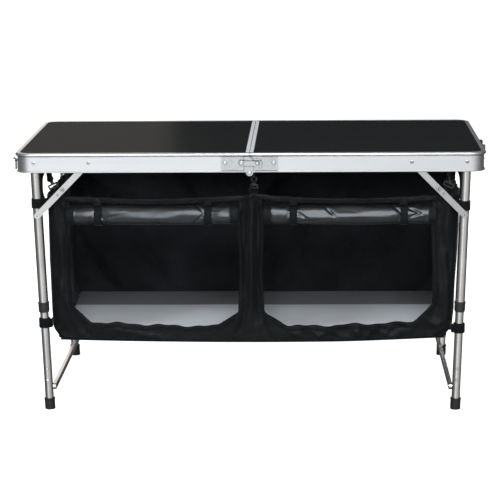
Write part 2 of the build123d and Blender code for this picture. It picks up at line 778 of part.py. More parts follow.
with BuildPart() as left_roll_straps:
    strap_loop = roll_height + 2 * webbing + 0.6
    for strap_x in roll_strap_places:
        with BuildSketch(Plane.YZ.offset(strap_x - roll_strap_width / 2)):
            with Locations((-roll_y, roll_z)):
                SlotOverall(strap_loop, strap_loop - roll_height + roll_depth, rotation=90)
                SlotOverall(roll_height + 0.6, roll_depth + 0.6, rotation=90, mode=Mode.SUBTRACT)
        extrude(amount=roll_strap_width)
    with Locations((0, -bag_half_depth + cloth / 2, opening_top + 20)):
        Box(table_length, cloth + 0.6, 40.6, mode=Mode.SUBTRACT)

with BuildPart() as right_front_wall:
    mirror(left_front_wall.part, about=Plane.YZ)

with BuildPart() as right_back_wall:
    mirror(left_back_wall.part, about=Plane.YZ)

with BuildPart() as right_end_wall:
    mirror(left_end_wall.part, about=Plane.YZ)

with BuildPart() as right_floor_board:
    mirror(left_floor_board.part, about=Plane.YZ)

with BuildPart() as right_door_roll:
    mirror(left_door_roll.part, about=Plane.YZ)

with BuildPart() as right_roll_straps:
    mirror(left_roll_straps.part, about=Plane.YZ)

# webbing loops round the legs
with BuildPart() as left_leg_straps:
    for height in left_strap_heights:
        inner = upper_radius + 0.1 if height > upper_end else lower_radius + 2.0
        with BuildSketch(left_leg.offset(height - strap_width / 2 - leg_length)):
            with Locations((0, -leg_y), (0, leg_y)):
                Circle(inner + webbing)
                Circle(inner, mode=Mode.SUBTRACT)
        extrude(amount=strap_width)

with BuildPart() as right_leg_straps:
    for height in right_strap_heights:
        inner = upper_radius + 0.1 if height > upper_end else lower_radius + 2.0
        with BuildSketch(right_leg.offset(height - strap_width / 2 - leg_length)):
            with Locations((0, -leg_y), (0, leg_y)):
                Circle(inner + webbing)
                Circle(inner, mode=Mode.SUBTRACT)
        extrude(amount=strap_width)

# webbing sewn to the bag: tabs towards the legs and straps up to the hooks
with BuildPart() as left_bag_webbing:
    for height in left_strap_heights:
        axis_x = -pivot_x + (pivot_z - height) * sin(lean)
        with Locations(
            Location((axis_x + 16.5, -leg_y + 15.5, height), (0, 0, 48)),
        ):
            Box(14, webbing, strap_width)
    with Locations(Location((-corner_strap_x, -hook_y, corner_strap_z), (0, -hook_tilt, 0))):
        Box(hook_strap_width, hook_strap_thickness, corner_strap_length)
    mirror(about=Plane.XZ)

with BuildPart() as right_bag_webbing:
    for height in right_strap_heights:
        axis_x = pivot_x - (pivot_z - height) * sin(lean)
        with Locations(
            Location((axis_x - 16.5, -leg_y + 15.5, height), (0, 0, -48)),
        ):
            Box(14, webbing, strap_width)
    with Locations(Location((corner_strap_x, -hook_y, corner_strap_z), (0, hook_tilt, 0))):
        Box(hook_strap_width, hook_strap_thickness, corner_strap_length)
    with Locations((centre_hook_x, -hook_y, centre_strap_z)):
        Box(hook_strap_width, hook_strap_thickness, centre_strap_length)
    mirror(about=Plane.XZ)

# webbing tabs fixed under the panels, and the snap hooks that join them to the bag
with BuildPart() as left_hanger_tabs:
    with Locations((-corner_tab_x, -hook_y, (panel_bottom + tab_bottom) / 2)):
        Box(tab_width, hook_strap_thickness, panel_bottom - tab_bottom - 2 * fit)
    mirror(about=Plane.XZ)

with BuildPart() as right_hanger_tabs:
    with Locations(
        (corner_tab_x, -hook_y, (panel_bottom + tab_bottom) / 2),
        (centre_tab_x, -hook_y, (panel_bottom + tab_bottom) / 2),
    ):
        Box(tab_width, hook_strap_thickness, panel_bottom - tab_bottom - 2 * fit)
    mirror(about=Plane.XZ)


def snap_hook(buckle_width):
    """Snap hook in the open sketch: hook ring above, slotted buckle below."""
    with Locations((0, 13)):
        Circle(8.5)
        Circle(4.4, mode=Mode.SUBTRACT)
    with Locations((0, 2.5)):
        Rectangle(8, 8)
    with Locations((0, -7)):
        RectangleRounded(buckle_width, 13, 3)
        Rectangle(buckle_width - 6, 5, mode=Mode.SUBTRACT)


hook_back = -hook_y + hook_thickness / 2

with BuildPart() as left_hooks:
    tilted = Plane(
        origin=(-corner_hook_x, hook_back, hook_height + corner_hook_rise),
        x_dir=(cos(radians(hook_tilt)), 0, sin(radians(hook_tilt))),
        z_dir=(0, -1, 0),
    )
    with BuildSketch(tilted):
        snap_hook(corner_buckle_width)
    extrude(amount=hook_thickness)
    mirror(about=Plane.XZ)

with BuildPart() as right_hooks:
    tilted = Plane(
        origin=(corner_hook_x, hook_back, hook_height + corner_hook_rise),
        x_dir=(cos(radians(hook_tilt)), 0, -sin(radians(hook_tilt))),
        z_dir=(0, -1, 0),
    )
    upright = Plane(
        origin=(centre_hook_x, hook_back, hook_height),
        x_dir=(1, 0, 0),
        z_dir=(0, -1, 0),
    )
    with BuildSketch(tilted):
        snap_hook(corner_buckle_width)
    with BuildSketch(upright):
        snap_hook(centre_buckle_width)
    extrude(amount=hook_thickness)
    mirror(about=Plane.XZ)

# ---------------------------------------------------------------------------
# Labels and export
# ---------------------------------------------------------------------------

nodes = {
    "left_rail": left_rail,
    "right_rail": right_rail,
    "left_panel": left_panel,
    "right_panel": right_panel,
    "left_seam_rail": left_seam_rail,
    "right_seam_rail": right_seam_rail,
    "left_hinge_leaves": left_hinge_leaves,
    "right_hinge_leaves": right_hinge_leaves,
    "left_hinge_rivets": left_hinge_rivets,
    "right_hinge_rivets": right_hinge_rivets,
    "front_latch": front_latch,
    "rear_latch": rear_latch,
    "left_rail_rivets": left_rail_rivets,
    "right_rail_rivets": right_rail_rivets,
    "left_upper_legs": left_upper_legs,
    "right_upper_legs": right_upper_legs,
    "left_collars": left_collars,
    "right_collars": right_collars,
    "left_link_rivets": left_link_rivets,
    "right_link_rivets": right_link_rivets,
    "left_lower_legs": left_lower_legs,
    "right_lower_legs": right_lower_legs,
    "left_leg_buttons": left_leg_buttons,
    "right_leg_buttons": right_leg_buttons,
    "left_crossbar": left_crossbar,
    "right_crossbar": right_crossbar,
    "left_feet": left_feet,
    "right_feet": right_feet,
    "left_upper_links": left_upper_links,
    "right_upper_links": right_upper_links,
    "left_lower_links": left_lower_links,
    "right_lower_links": right_lower_links,
    "left_end_brackets": left_end_brackets,
    "front_toggle": front_toggle,
    "front_bail": front_bail,
    "rear_toggle": rear_toggle,
    "rear_bail": rear_bail,
    "handle": handle,
    "right_end_brackets": right_end_brackets,
    "left_front_wall": left_front_wall,
    "right_front_wall": right_front_wall,
    "left_back_wall": left_back_wall,
    "right_back_wall": right_back_wall,
    "left_end_wall": left_end_wall,
    "right_end_wall": right_end_wall,
    "centre_divider": centre_divider,
    "left_floor_board": left_floor_board,
    "right_floor_board": right_floor_board,
    "left_door_roll": left_door_roll,
    "right_door_roll": right_door_roll,
    "left_roll_straps": left_roll_straps,
    "right_roll_straps": right_roll_straps,
    "left_leg_straps": left_leg_straps,
    "right_leg_straps": right_leg_straps,
    "left_bag_webbing": left_bag_webbing,
    "right_bag_webbing": right_bag_webbing,
    "left_hanger_tabs": left_hanger_tabs,
    "right_hanger_tabs": right_hanger_tabs,
    "left_hooks": left_hooks,
    "right_hooks": right_hooks,
}

for name, node in nodes.items():
    node.part.label = name
    export_step(node.part, f"parts/{name}.step")
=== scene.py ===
from math import atan2, cos, exp, hypot, pi, radians, sin, sqrt, tau

import bpy
from mathutils import Matrix, Vector, noise


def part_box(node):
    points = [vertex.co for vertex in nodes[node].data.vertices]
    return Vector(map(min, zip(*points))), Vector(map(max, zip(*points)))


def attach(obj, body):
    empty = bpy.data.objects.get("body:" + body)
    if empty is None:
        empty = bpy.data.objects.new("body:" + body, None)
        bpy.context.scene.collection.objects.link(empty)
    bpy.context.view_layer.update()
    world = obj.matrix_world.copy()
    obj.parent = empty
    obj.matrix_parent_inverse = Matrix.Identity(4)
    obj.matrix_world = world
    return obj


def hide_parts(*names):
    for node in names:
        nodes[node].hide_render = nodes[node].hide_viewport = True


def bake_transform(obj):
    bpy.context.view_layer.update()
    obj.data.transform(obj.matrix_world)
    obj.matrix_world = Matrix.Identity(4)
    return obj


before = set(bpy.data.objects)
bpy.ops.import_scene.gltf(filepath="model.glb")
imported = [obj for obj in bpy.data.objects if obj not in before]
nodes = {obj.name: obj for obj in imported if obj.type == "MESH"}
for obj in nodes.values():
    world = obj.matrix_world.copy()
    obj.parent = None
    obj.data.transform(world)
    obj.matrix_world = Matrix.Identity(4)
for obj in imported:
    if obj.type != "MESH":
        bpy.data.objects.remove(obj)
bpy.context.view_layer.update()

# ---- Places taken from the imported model, in metres ----

front_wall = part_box("left_front_wall")
divider_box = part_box("centre_divider")
bag_half = -front_wall[0].x
bag_front = front_wall[0].y
bag_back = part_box("left_back_wall")[1].y
bag_bottom = front_wall[0].z
bag_top = front_wall[1].z
floor_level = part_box("left_floor_board")[1].z
rail_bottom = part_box("left_rail")[0].z

opening_outer = bag_half - 0.057
opening_inner = 0.031
opening_bottom = bag_bottom + 0.038
opening_top = bag_top - 0.010
corner_radius = 0.014
cloth_thickness = 0.0016
webbing_thickness = 0.0018
centre_hook_x = 0.009
hanger_y = 0.236

HALVES = (("left", -1), ("right", 1))
DEPTHS = (("front", -1), ("rear", 1))

# ---- Material helpers ----


def fill(tree, node, inputs):
    """Set a node's inputs, or link them where a socket is given."""
    for key, value in inputs.items():
        if isinstance(value, bpy.types.NodeSocket):
            tree.links.new(value, node.inputs[key])
        else:
            node.inputs[key].default_value = value


def add(tree, kind, inputs=None, **attributes):
    """Add a shader node with its inputs and attributes."""
    node = tree.nodes.new("ShaderNode" + kind)
    for key, value in attributes.items():
        setattr(node, key, value)
    fill(tree, node, inputs or {})
    return node


def new_material(name):
    """A principled material with a node tree, and shortcuts to its parts."""
    material = bpy.data.materials.new(name)
    material.use_nodes = True
    tree = material.node_tree
    return material, tree, tree.nodes["Principled BSDF"]


def stretched(tree, scale=(1, 1, 1), source="Object"):
    """Coordinates of the given kind, scaled by a vector."""
    coords = add(tree, "TexCoord")
    mapping = add(tree, "Mapping", {"Vector": coords.outputs[source], "Scale": scale})
    return mapping.outputs["Vector"]


def noise_of(tree, vector, scale, detail=4.0, roughness=0.55):
    """Factor output of a noise texture on a vector."""
    inputs = {"Vector": vector, "Scale": scale, "Detail": detail, "Roughness": roughness}
    return add(tree, "TexNoise", inputs).outputs["Fac"]


def ramp(tree, factor, stops):
    """Colour ramp through (position, colour) stops."""
    node = add(tree, "ValToRGB", {"Fac": factor})
    elements = node.color_ramp.elements
    while len(elements) < len(stops):
        elements.new(0.5)
    for element, (position, colour) in zip(elements, stops):
        element.position = position
        element.color = (*colour, 1)
    return node.outputs["Color"]


def remap(tree, factor, low, high, start=0.0, end=1.0, interpolation="LINEAR"):
    """Spread the stretch from start to end over low to high."""
    inputs = {"Value": factor, "From Min": start, "From Max": end, "To Min": low, "To Max": high}
    return add(tree, "MapRange", inputs, interpolation_type=interpolation).outputs["Result"]


def scaled(tree, vector, factor):
    """A vector or colour times a factor."""
    inputs = {0: vector, "Scale": factor}
    return add(tree, "VectorMath", inputs, operation="SCALE").outputs["Vector"]


def calculate(tree, operation, *values):
    """Result of a math node."""
    return add(tree, "Math", dict(enumerate(values)), operation=operation).outputs["Value"]


def mixed(tree, factor, first, second):
    """One shader where the factor is 0, the other where it is 1."""
    return add(tree, "MixShader", {"Fac": factor, 1: first, 2: second}).outputs["Shader"]


def split(tree, vector, axis):
    """One component of a vector."""
    return add(tree, "SeparateXYZ", {"Vector": vector}).outputs[axis]


def surface(tree, output):
    """Something the renderer knows about the surface at a point."""
    return add(tree, "NewGeometry").outputs[output]


def bump(tree, shader, height, distance, strength=1.0):
    """Bump the shader by a height; several calls stack."""
    node = add(tree, "Bump", {"Height": height, "Strength": strength, "Distance": distance})
    socket = shader.inputs["Normal"]
    if socket.is_linked:
        tree.links.new(socket.links[0].from_socket, node.inputs["Normal"])
    tree.links.new(node.outputs["Normal"], socket)


def crevice_shade(tree, colour, reach, floor, start=0.45, end=0.85):
    """Painted shade: darken a colour by ambient occlusion in the crevices between parts."""
    cavity = add(tree, "AmbientOcclusion", {"Distance": reach}, samples=8)
    return scaled(tree, colour, remap(tree, cavity.outputs["AO"], floor, 1.0, start, end))


def grey(value, tint=(1.0, 1.0, 1.0)):
    """A colour of one brightness with a slight tint."""
    return tuple(value * channel for channel in tint)


COOL = (0.94, 1.0, 1.07)
INKY = (0.9, 1.0, 1.1)
BLUISH = (0.95, 1.0, 1.16)
WARM = (1.06, 1.0, 0.93)


def two_tone(tree, factor, value, down, up, tint, high_tint=None, end=0.7):
    """A value that wanders from a share below it to a share above it."""
    low = grey(value * down, tint)
    return ramp(tree, factor, ((0.3, low), (end, grey(value * up, high_tint or tint))))


def weave_height(tree, threads_per_metre):
    """Plain weave in the sheet's own metres: two crossed waves."""
    waves = []
    for direction in ("X", "Y"):
        inputs = {
            "Vector": stretched(tree, source="UV"),
            "Scale": threads_per_metre * 0.05,
            "Distortion": 0.6,
            "Detail Scale": 3.0,
        }
        wave = add(tree, "TexWave", inputs, wave_type="BANDS", bands_direction=direction)
        waves.append(wave.outputs["Fac"])
    return calculate(tree, "MULTIPLY", *waves)


# ---- Materials ----


def woven(name, value, tint=INKY, threads=900, spread=0.35, gloss=0.15, top_shade=None, rumple=0.009):
    """Woven polyester: weave and crumple bump, uneven colour, soft sheen; painted shade can darken it
    towards the top.
    """
    material, tree, shader = new_material(name)
    cloth = stretched(tree)
    cloudy = noise_of(tree, cloth, 7.0, detail=6.0)
    colour = two_tone(tree, cloudy, value, 1 - spread, 1 + spread, tint)
    # painted shade: the colour darkens towards the top, the shadow under the table top
    if top_shade:
        start, end, share = top_shade
        dimmer = remap(tree, split(tree, cloth, "Z"), 1.0, share, start, end, "SMOOTHSTEP")
        colour = scaled(tree, colour, dimmer)
    fine = noise_of(tree, cloth, 260.0, detail=2.0)
    inputs = {
        "Base Color": colour,
        "Roughness": remap(tree, fine, 0.42, 0.62),
        "Specular IOR Level": gloss,
        "Specular Tint": (*tint, 1),
        "Sheen Weight": 0.12,
        "Sheen Roughness": 0.4,
        "Sheen Tint": (0.75, 0.85, 0.95, 1),
    }
    fill(tree, shader, inputs)
    bump(tree, shader, noise_of(tree, cloth, 16.0, detail=5.0, roughness=0.6), rumple, 0.5)
    bump(tree, shader, noise_of(tree, cloth, 60.0, detail=5.0), 0.0012, 0.5)
    bump(tree, shader, weave_height(tree, threads), 0.0004, 0.6)
    return material


def coated_cloth(name, value):
    """Smooth grey coated cloth laid over a board."""
    material, tree, shader = new_material(name)
    cloudy = noise_of(tree, stretched(tree), 5.0, detail=3.0)
    colour = two_tone(tree, cloudy, value, 0.93, 1.07, COOL)
    fill(tree, shader, {"Base Color": colour, "Roughness": 0.55, "Specular IOR Level": 0.25})
    bump(tree, shader, weave_height(tree, 700), 0.0003, 0.5)
    return material


def vinyl(name):
    """Glossy coated door cloth with crisp creases."""
    material, tree, shader = new_material(name)
    cloth = stretched(tree)
    cloudy = noise_of(tree, cloth, 9.0, detail=5.0)
    inputs = {
        "Base Color": two_tone(tree, cloudy, 0.008, 1.0, 1.75, COOL, end=0.75),
        "Roughness": remap(tree, noise_of(tree, cloth, 24.0), 0.15, 0.28),
        "Specular IOR Level": 0.37,
        "Specular Tint": (0.86, 0.93, 1.0, 1),
    }
    fill(tree, shader, inputs)
    bump(tree, shader, noise_of(tree, stretched(tree, (0.6, 1, 1.6)), 42.0), 0.0007, 0.35)
    return material


def extruded_aluminium(name, value=0.8, metallic=0.9):
    """Satin rail: fine level lines from the extrusion, faint cloudiness, painted shade on faces turned
    towards its ends and painted shade in its crevices.
    """
    material, tree, shader = new_material(name)
    lines = noise_of(tree, stretched(tree, (0.6, 0.6, 260.0)), 3.0, detail=3.0)
    cloudy = noise_of(tree, stretched(tree, (1, 1, 3)), 4.0)
    tone = add(tree, "Mix", {"Factor": 0.35, "A": lines, "B": cloudy}, data_type="FLOAT")
    colour = two_tone(tree, tone.outputs["Result"], value, 0.96, 1.02, COOL, (1.0, 1.0, 1.0))
    # painted shade: faces whose normal turns along the rail are darker
    turned = calculate(tree, "ABSOLUTE", split(tree, surface(tree, "Normal"), "X"))
    side_shaded = scaled(tree, colour, remap(tree, turned, 1.0, 0.66, 0.05, 0.7, "SMOOTHSTEP"))
    inputs = {
        # painted shade in the crevices between parts
        "Base Color": crevice_shade(tree, side_shaded, 0.0025, 0.45),
        "Metallic": metallic,
        "Roughness": remap(tree, lines, 0.27, 0.37),
    }
    fill(tree, shader, inputs)
    bump(tree, shader, lines, 0.00006, 0.2)
    return material


def drawn_tube(name, value=0.80, tint=(1.0, 0.985, 0.97)):
    """Anodised tube with fine scratches along its length and painted shade in its crevices."""
    material, tree, shader = new_material(name)
    grain = noise_of(tree, stretched(tree, (320.0, 320.0, 4.0)), 3.0, detail=3.0)
    cloudy = noise_of(tree, stretched(tree), 22.0)
    colour = two_tone(tree, cloudy, value, 0.9, 1.05, tint)
    inputs = {
        # painted shade in the crevices between parts
        "Base Color": crevice_shade(tree, colour, 0.005, 0.3),
        "Metallic": 1.0,
        "Roughness": remap(tree, grain, 0.18, 0.3),
    }
    fill(tree, shader, inputs)
    bump(tree, shader, grain, 0.00005, 0.3)
    return material


def plated_steel(name, value, roughness=0.3, spangle=0.1, floor=0.06, domed=False):
    """Zinc plated sheet with a cloudy spangle, or a polished rivet whose dome is made to look steeper;
    both with painted shade in their crevices.
    """
    material, tree, shader = new_material(name)
    if domed:
        inputs = {0: surface(tree, "Normal"), 1: (2.4, 1.0, 2.4)}
        steeper = add(tree, "VectorMath", inputs, operation="MULTIPLY").outputs["Vector"]
        unit = add(tree, "VectorMath", {0: steeper}, operation="NORMALIZE")
        fill(tree, shader, {"Normal": unit.outputs["Vector"]})
    cells = add(tree, "TexVoronoi", {"Vector": stretched(tree), "Scale": 170.0})
    tone = noise_of(tree, cells.outputs["Color"], 3.0, detail=2.0)
    colour = two_tone(tree, tone, value, 1 - spangle, 1 + spangle, (0.97, 1.0, 1.03))
    inputs = {
        # painted shade in the crevices between parts; floor is its darkest share
        "Base Color": crevice_shade(tree, colour, 0.006, floor, 0.55, 0.93),
        "Metallic": 1.0,
        "Roughness": remap(tree, tone, roughness - 0.08, roughness + 0.1),
    }
    fill(tree, shader, inputs)
    bump(tree, shader, noise_of(tree, stretched(tree), 500.0), 0.0001, 0.3)
    return material


def moulded(name, value, roughness=0.45):
    """Black moulded plastic or rubber with a fine spark-eroded texture."""
    material, tree, shader = new_material(name)
    place = stretched(tree)
    colour = two_tone(tree, noise_of(tree, place, 30.0), value, 0.75, 1.3, COOL)
    fine = noise_of(tree, place, 900.0, detail=2.0)
    uneven = remap(tree, fine, roughness - 0.1, roughness + 0.12)
    fill(tree, shader, {"Base Color": colour, "Roughness": uneven})
    bump(tree, shader, fine, 0.0002, 0.4)
    return material


def laminate(name):
    """Satin black table top; its sheen is kept low at grazing angles."""
    material, tree, shader = new_material(name)
    grain = noise_of(tree, stretched(tree, (6, 60, 1)), 4.0, detail=6.0)
    colour = ramp(tree, grain, ((0.3, (0.011, 0.0125, 0.0128)), (0.72, (0.0165, 0.0175, 0.018))))
    fill(tree, shader, {"Base Color": colour, "Specular IOR Level": 0.0, "Roughness": 0.6})
    ripple = noise_of(tree, stretched(tree), 90.0, detail=3.0)
    bump(tree, shader, ripple, 0.0002, 0.3)
    waves = add(tree, "Bump", {"Height": ripple, "Strength": 0.25, "Distance": 0.0002})
    inputs = {"Color": (1, 1, 1, 1), "Roughness": 0.24, "Normal": waves.outputs["Normal"]}
    gloss = add(tree, "BsdfAnisotropic", inputs)
    facing = add(tree, "LayerWeight", {"Blend": 0.25})
    share = remap(tree, facing.outputs["Fresnel"], 0.015, 0.05, 0.0, 0.6)
    both = mixed(tree, share, shader.outputs["BSDF"], gloss.outputs["BSDF"])
    fill(tree, tree.nodes["Material Output"], {"Surface": both})
    return material


rail_metal = extruded_aluminium("rail_aluminium")
seam_metal = extruded_aluminium("seam_aluminium", 0.86, 0.18)
tube_metal = drawn_tube("tube_aluminium")
brace_metal = drawn_tube("brace_aluminium", 0.66, (0.98, 1.0, 1.02))
top_laminate = laminate("top_laminate")
zinc = plated_steel("zinc_steel", 0.66)
rivet_metal = plated_steel("rivet_steel", 0.8, roughness=0.14, spangle=0.03, floor=0.1, domed=True)
# dark steel for brackets and toggles, also used as painted shade on rivet heads
dark_steel = plated_steel("dark_steel", 0.16, roughness=0.34)
black_plastic = moulded("black_plastic", 0.014)
black_rubber = moulded("black_rubber", 0.011, roughness=0.6)
bag_cloth = woven("bag_cloth", 0.0045)
# lining: painted shade darkens it towards the top of the walls
lining = woven("bag_lining", 0.029, BLUISH, gloss=0.03, top_shade=(0.46, 0.55, 0.35), rumple=0.024)
webbing = woven("webbing", 0.006, threads=420, spread=0.2, gloss=0.06)
binding = woven("binding", 0.004, threads=600, spread=0.2, gloss=0.1)
thread = woven("thread", 0.03, threads=2000, spread=0.1, gloss=0.2)
door_vinyl = vinyl("door_vinyl")
board_cloth = coated_cloth("board_cloth", 0.8)
# darker copy of the board cloth: a painted shadow of the rolled doors on the floor's rear strip
painted_shadow_cloth = coated_cloth("painted_shadow_cloth", 0.22)

PAINT = (
    (rail_metal, ("rail",)),
    (seam_metal, ("seam_rail",)),
    (top_laminate, ("panel",)),
    (zinc, ("hinge_leaves", "front_latch", "rear_latch")),
    (rivet_metal, ("hinge_rivets", "rail_rivets", "link_rivets", "leg_buttons")),
    (tube_metal, ("upper_legs", "lower_legs", "crossbar")),
    (brace_metal, ("upper_links", "lower_links")),
    (dark_steel, ("end_brackets", "front_toggle", "rear_toggle", "front_bail", "rear_bail")),
    (black_plastic, ("collars", "handle", "hooks")),
    (black_rubber, ("feet",)),
    (webbing, ("hanger_tabs",)),
)
for material, names in PAINT:
    for name in names:
        for side in ("left_", "right_", ""):
            if side + name in nodes:
                slots = nodes[side + name].data.materials
                slots.clear()
                slots.append(material)

# ---- Mesh helpers ----

X_AXIS = Vector((1, 0, 0))
Y_AXIS = Vector((0, 1, 0))
Z_AXIS = Vector((0, 0, 1))
# half of the outline of a piece of webbing, in widths and thicknesses
WEBBING_EDGE = ((-0.5, 0.3), (-0.46, 0.5), (0.0, 0.56), (0.46, 0.5), (0.5, 0.3))
WEBBING_OUTLINE = WEBBING_EDGE + tuple((a, -b) for a, b in reversed(WEBBING_EDGE))


def fit(piece, body=None, stands_for=()):
    """Hide the CAD pieces a piece stands for, and hang it from the body that carries it or fix its
    placement in its points.
    """
    if stands_for:
        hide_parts(*stands_for)
    if body:
        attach(piece, body)
    else:
        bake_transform(piece)


def make_object(name, points, faces, material, uvs=None):
    """A mesh object from points, faces and, for cloth, metric UVs per point."""
    mesh = bpy.data.meshes.new(name)
    mesh.from_pydata([tuple(p) for p in points], [], faces)
    mesh.materials.append(material)
    if uvs:
        layer = mesh.uv_layers.new(name="cloth")
        for loop in mesh.loops:
            layer.data[loop.index].uv = uvs[loop.vertex_index]
    for polygon in mesh.polygons:
        polygon.use_smooth = True
    piece = bpy.data.objects.new(name, mesh)
    bpy.context.scene.collection.objects.link(piece)
    return piece


def thicken(piece, offset=0.0, levels=0):
    """Give a sheet of cloth its real thickness, and smooth it by some levels."""
    solid = piece.modifiers.new("thickness", "SOLIDIFY")
    solid.thickness = cloth_thickness
    solid.offset = offset
    solid.use_even_offset = True
    if levels:
        smooth = piece.modifiers.new("smooth", "SUBSURF")
        smooth.levels = levels
        smooth.render_levels = levels
    graph = bpy.context.evaluated_depsgraph_get()
    mesh = bpy.data.meshes.new_from_object(piece.evaluated_get(graph))
    piece.modifiers.clear()
    piece.data = mesh
    return piece


def flipped(face):
    """The same face seen from its other side."""
    return face[:1] + face[:0:-1]


def skin(rings, around, closed=False, first=0, caps=True):
    """Faces over rings of points; the ends are capped unless the rings close on themselves."""
    faces = []
    for i in range(rings if closed else rings - 1):
        here = first + i * around
        ahead = first + (i + 1) % rings * around
        for k in range(around):
            n = (k + 1) % around
            faces.append((here + k, here + n, ahead + n, ahead + k))
    if caps and not closed:
        last = first + (rings - 1) * around
        faces.append(tuple(first + k for k in reversed(range(around))))
        faces.append(tuple(last + k for k in range(around)))
    return faces


def lattice(cells_u, cells_v, first=0):
    """Faces of a sheet whose points run along v, then along u."""
    stride = cells_v + 1
    corners = [first + i * stride + j for i in range(cells_u) for j in range(cells_v)]
    return [(a, a + 1, a + stride + 1, a + stride) for a in corners]


def sheet(name, cells_u, cells_v, place, material):
    """Sheet of cloth; place gives a point and its cloth coordinates for u and v from 0 to 1."""
    spots = [place(i / cells_u, j / cells_v) for i in range(cells_u + 1) for j in range(cells_v + 1)]
    points = [Vector(spot) for spot, _ in spots]
    return make_object(name, points, lattice(cells_u, cells_v), material, [uv for _, uv in spots])


def walk(path, closed):
    """Each point of a path, with its share of the whole, its direction and the distance run."""
    last = len(path) - 1
    run = 0.0
    for i, here in enumerate(path):
        before = path[i - 1] if i or closed else here
        after = path[(i + 1) % len(path)] if i < last or closed else here
        yield here, i / max(1, last), (after - before).normalized(), run
        run += (after - here).length


def ribbon(name, path, side, width, thickness=webbing_thickness, closed=False, material=webbing):
    """Flat webbing along a path; side gives its width direction at each point."""
    points, uvs = [], []
    for here, share, along, run in walk(path, closed):
        across = side(share) if callable(side) else side
        across = (across - along * across.dot(along)).normalized()
        up = across.cross(along)
        for a, b in WEBBING_OUTLINE:
            points.append(here + across * (a * width) + up * (b * thickness))
            uvs.append((a * width, run))
    faces = skin(len(path), len(WEBBING_OUTLINE), closed)
    return make_object(name, points, faces, material, uvs)


def cord(name, path, radius):
    """Round piping along a closed path."""
    sides = 8
    points, uvs = [], []
    reference = Vector((0.3, 0.2, 0.93)).normalized()
    for here, _, along, run in walk(path, True):
        first = along.cross(reference)
        if first.length < 0.05:
            first = along.cross(X_AXIS)
        first.normalize()
        second = along.cross(first)
        for k in range(sides):
            angle = tau * k / sides
            points.append(here + (first * cos(angle) + second * sin(angle)) * radius)
            uvs.append((radius * angle, run))
    faces = [flipped(face) for face in skin(len(path), sides, True)]
    return make_object(name, points, faces, binding, uvs)


def smoothstep(low, high, value):
    """0 below low, 1 above high, smooth between."""
    t = min(1.0, max(0.0, (value - low) / (high - low)))
    return t * t * (3 - 2 * t)


def curve_through(knots, steps=8):
    """Smooth path through the knots (Catmull-Rom)."""
    knots = [Vector(knot) for knot in knots]
    path = []
    last = len(knots) - 1
    for i in range(last):
        p0, p1, p2, p3 = knots[max(0, i - 1)], knots[i], knots[i + 1], knots[min(last, i + 2)]
        for k in range(steps):
            t = k / steps
            square = (2 * p0 - 5 * p1 + 4 * p2 - p3) * t * t
            cube = (3 * p1 - p0 - 3 * p2 + p3) * t * t * t
            path.append(0.5 * (2 * p1 + (p2 - p0) * t + square + cube))
    path.append(knots[-1])
    return path


# ---- The organiser's sewn shell ----


def hem_height(x, y):
    """Top edge of the shell: it sags between the hooks at the corners and the middle."""
    centre = centre_hook_x if y < 0 else 0.0
    corner = bag_half - 0.02
    share = (x + corner) / (centre + corner) if x < centre else (corner - x) / (corner - centre)
    sag = 0.0135 * sin(pi * share) ** 0.8 if 0 < share < 1 else 0.0
    peak = 0.004 * exp(-(((x - centre) / 0.03) ** 2))
    return bag_top + 0.001 - sag + peak


def crease(u, v, degrees, wavelength, stretch, seed):
    """Ridge pattern of long creases at an angle, from -1 to 1."""
    angle = radians(degrees)
    along = u * cos(angle) + v * sin(angle)
    across = -u * sin(angle) + v * cos(angle)
    value = noise.noise(Vector((across / wavelength, along / (wavelength * stretch), seed)))
    return 1 - 2 * min(1.0, abs(value) * 2.2)


def gather(x, z, hook_x):
    """Nine small folds that fan out from a hook where the cloth hangs."""
    away = hypot(x - hook_x, z - bag_top)
    turn = atan2(x - hook_x, bag_top - z)
    return exp(-away / 0.06) * cos(9 * turn) * smoothstep(0.0, 0.02, away)


def ridge(x, z, start_x, start_z, end_x, end_z, width, height):
    """Long fold from start to end with a rounded crest that fades at both ends."""
    dx = end_x - start_x
    dz = end_z - start_z
    length = hypot(dx, dz)
    share = ((x - start_x) * dx + (z - start_z) * dz) / length**2
    if not -0.2 < share < 1.2:
        return 0.0
    away = ((x - start_x) * dz - (z - start_z) * dx) / length
    return height * sin(pi * (share + 0.2) / 1.4) * exp(-((away / width) ** 2))


# folds of the front cloth: start x and z, end x and z, half width, height (valleys negative)
FRONT_FOLDS = (
    (-0.510, 0.545, -0.486, 0.40, 0.008, 0.006),
    (-0.486, 0.42, -0.505, 0.26, 0.009, 0.006),
    (-0.478, 0.55, -0.474, 0.32, 0.005, -0.004),
    (-0.505, 0.34, -0.450, 0.20, 0.010, 0.006),
    (-0.470, 0.25, -0.425, 0.195, 0.006, -0.004),
    (-0.36, 0.212, -0.22, 0.188, 0.007, 0.004),
    (-0.016, 0.56, -0.020, 0.28, 0.006, -0.010),
    (0.000, 0.57, 0.001, 0.25, 0.007, 0.011),
    (0.018, 0.56, 0.019, 0.28, 0.006, -0.010),
    (-0.008, 0.33, -0.026, 0.21, 0.005, -0.006),
    (0.012, 0.33, 0.030, 0.21, 0.005, -0.006),
    (-0.004, 0.34, -0.052, 0.195, 0.009, 0.006),
    (0.008, 0.33, 0.060, 0.20, 0.009, 0.006),
    (0.002, 0.27, 0.006, 0.19, 0.008, -0.004),
    (0.10, 0.208, 0.135, 0.190, 0.006, 0.004),
    (0.155, 0.210, 0.185, 0.188, 0.006, 0.005),
    (0.205, 0.211, 0.245, 0.190, 0.006, 0.005),
    (0.262, 0.212, 0.285, 0.192, 0.006, 0.004),
    (0.31, 0.213, 0.36, 0.193, 0.007, 0.004),
    (0.495, 0.55, 0.500, 0.38, 0.008, 0.007),
    (0.485, 0.46, 0.522, 0.36, 0.008, -0.005),
    (0.492, 0.40, 0.515, 0.26, 0.009, 0.007),
    (0.480, 0.34, 0.476, 0.25, 0.006, -0.004),
    (0.455, 0.235, 0.505, 0.20, 0.008, 0.005),
)


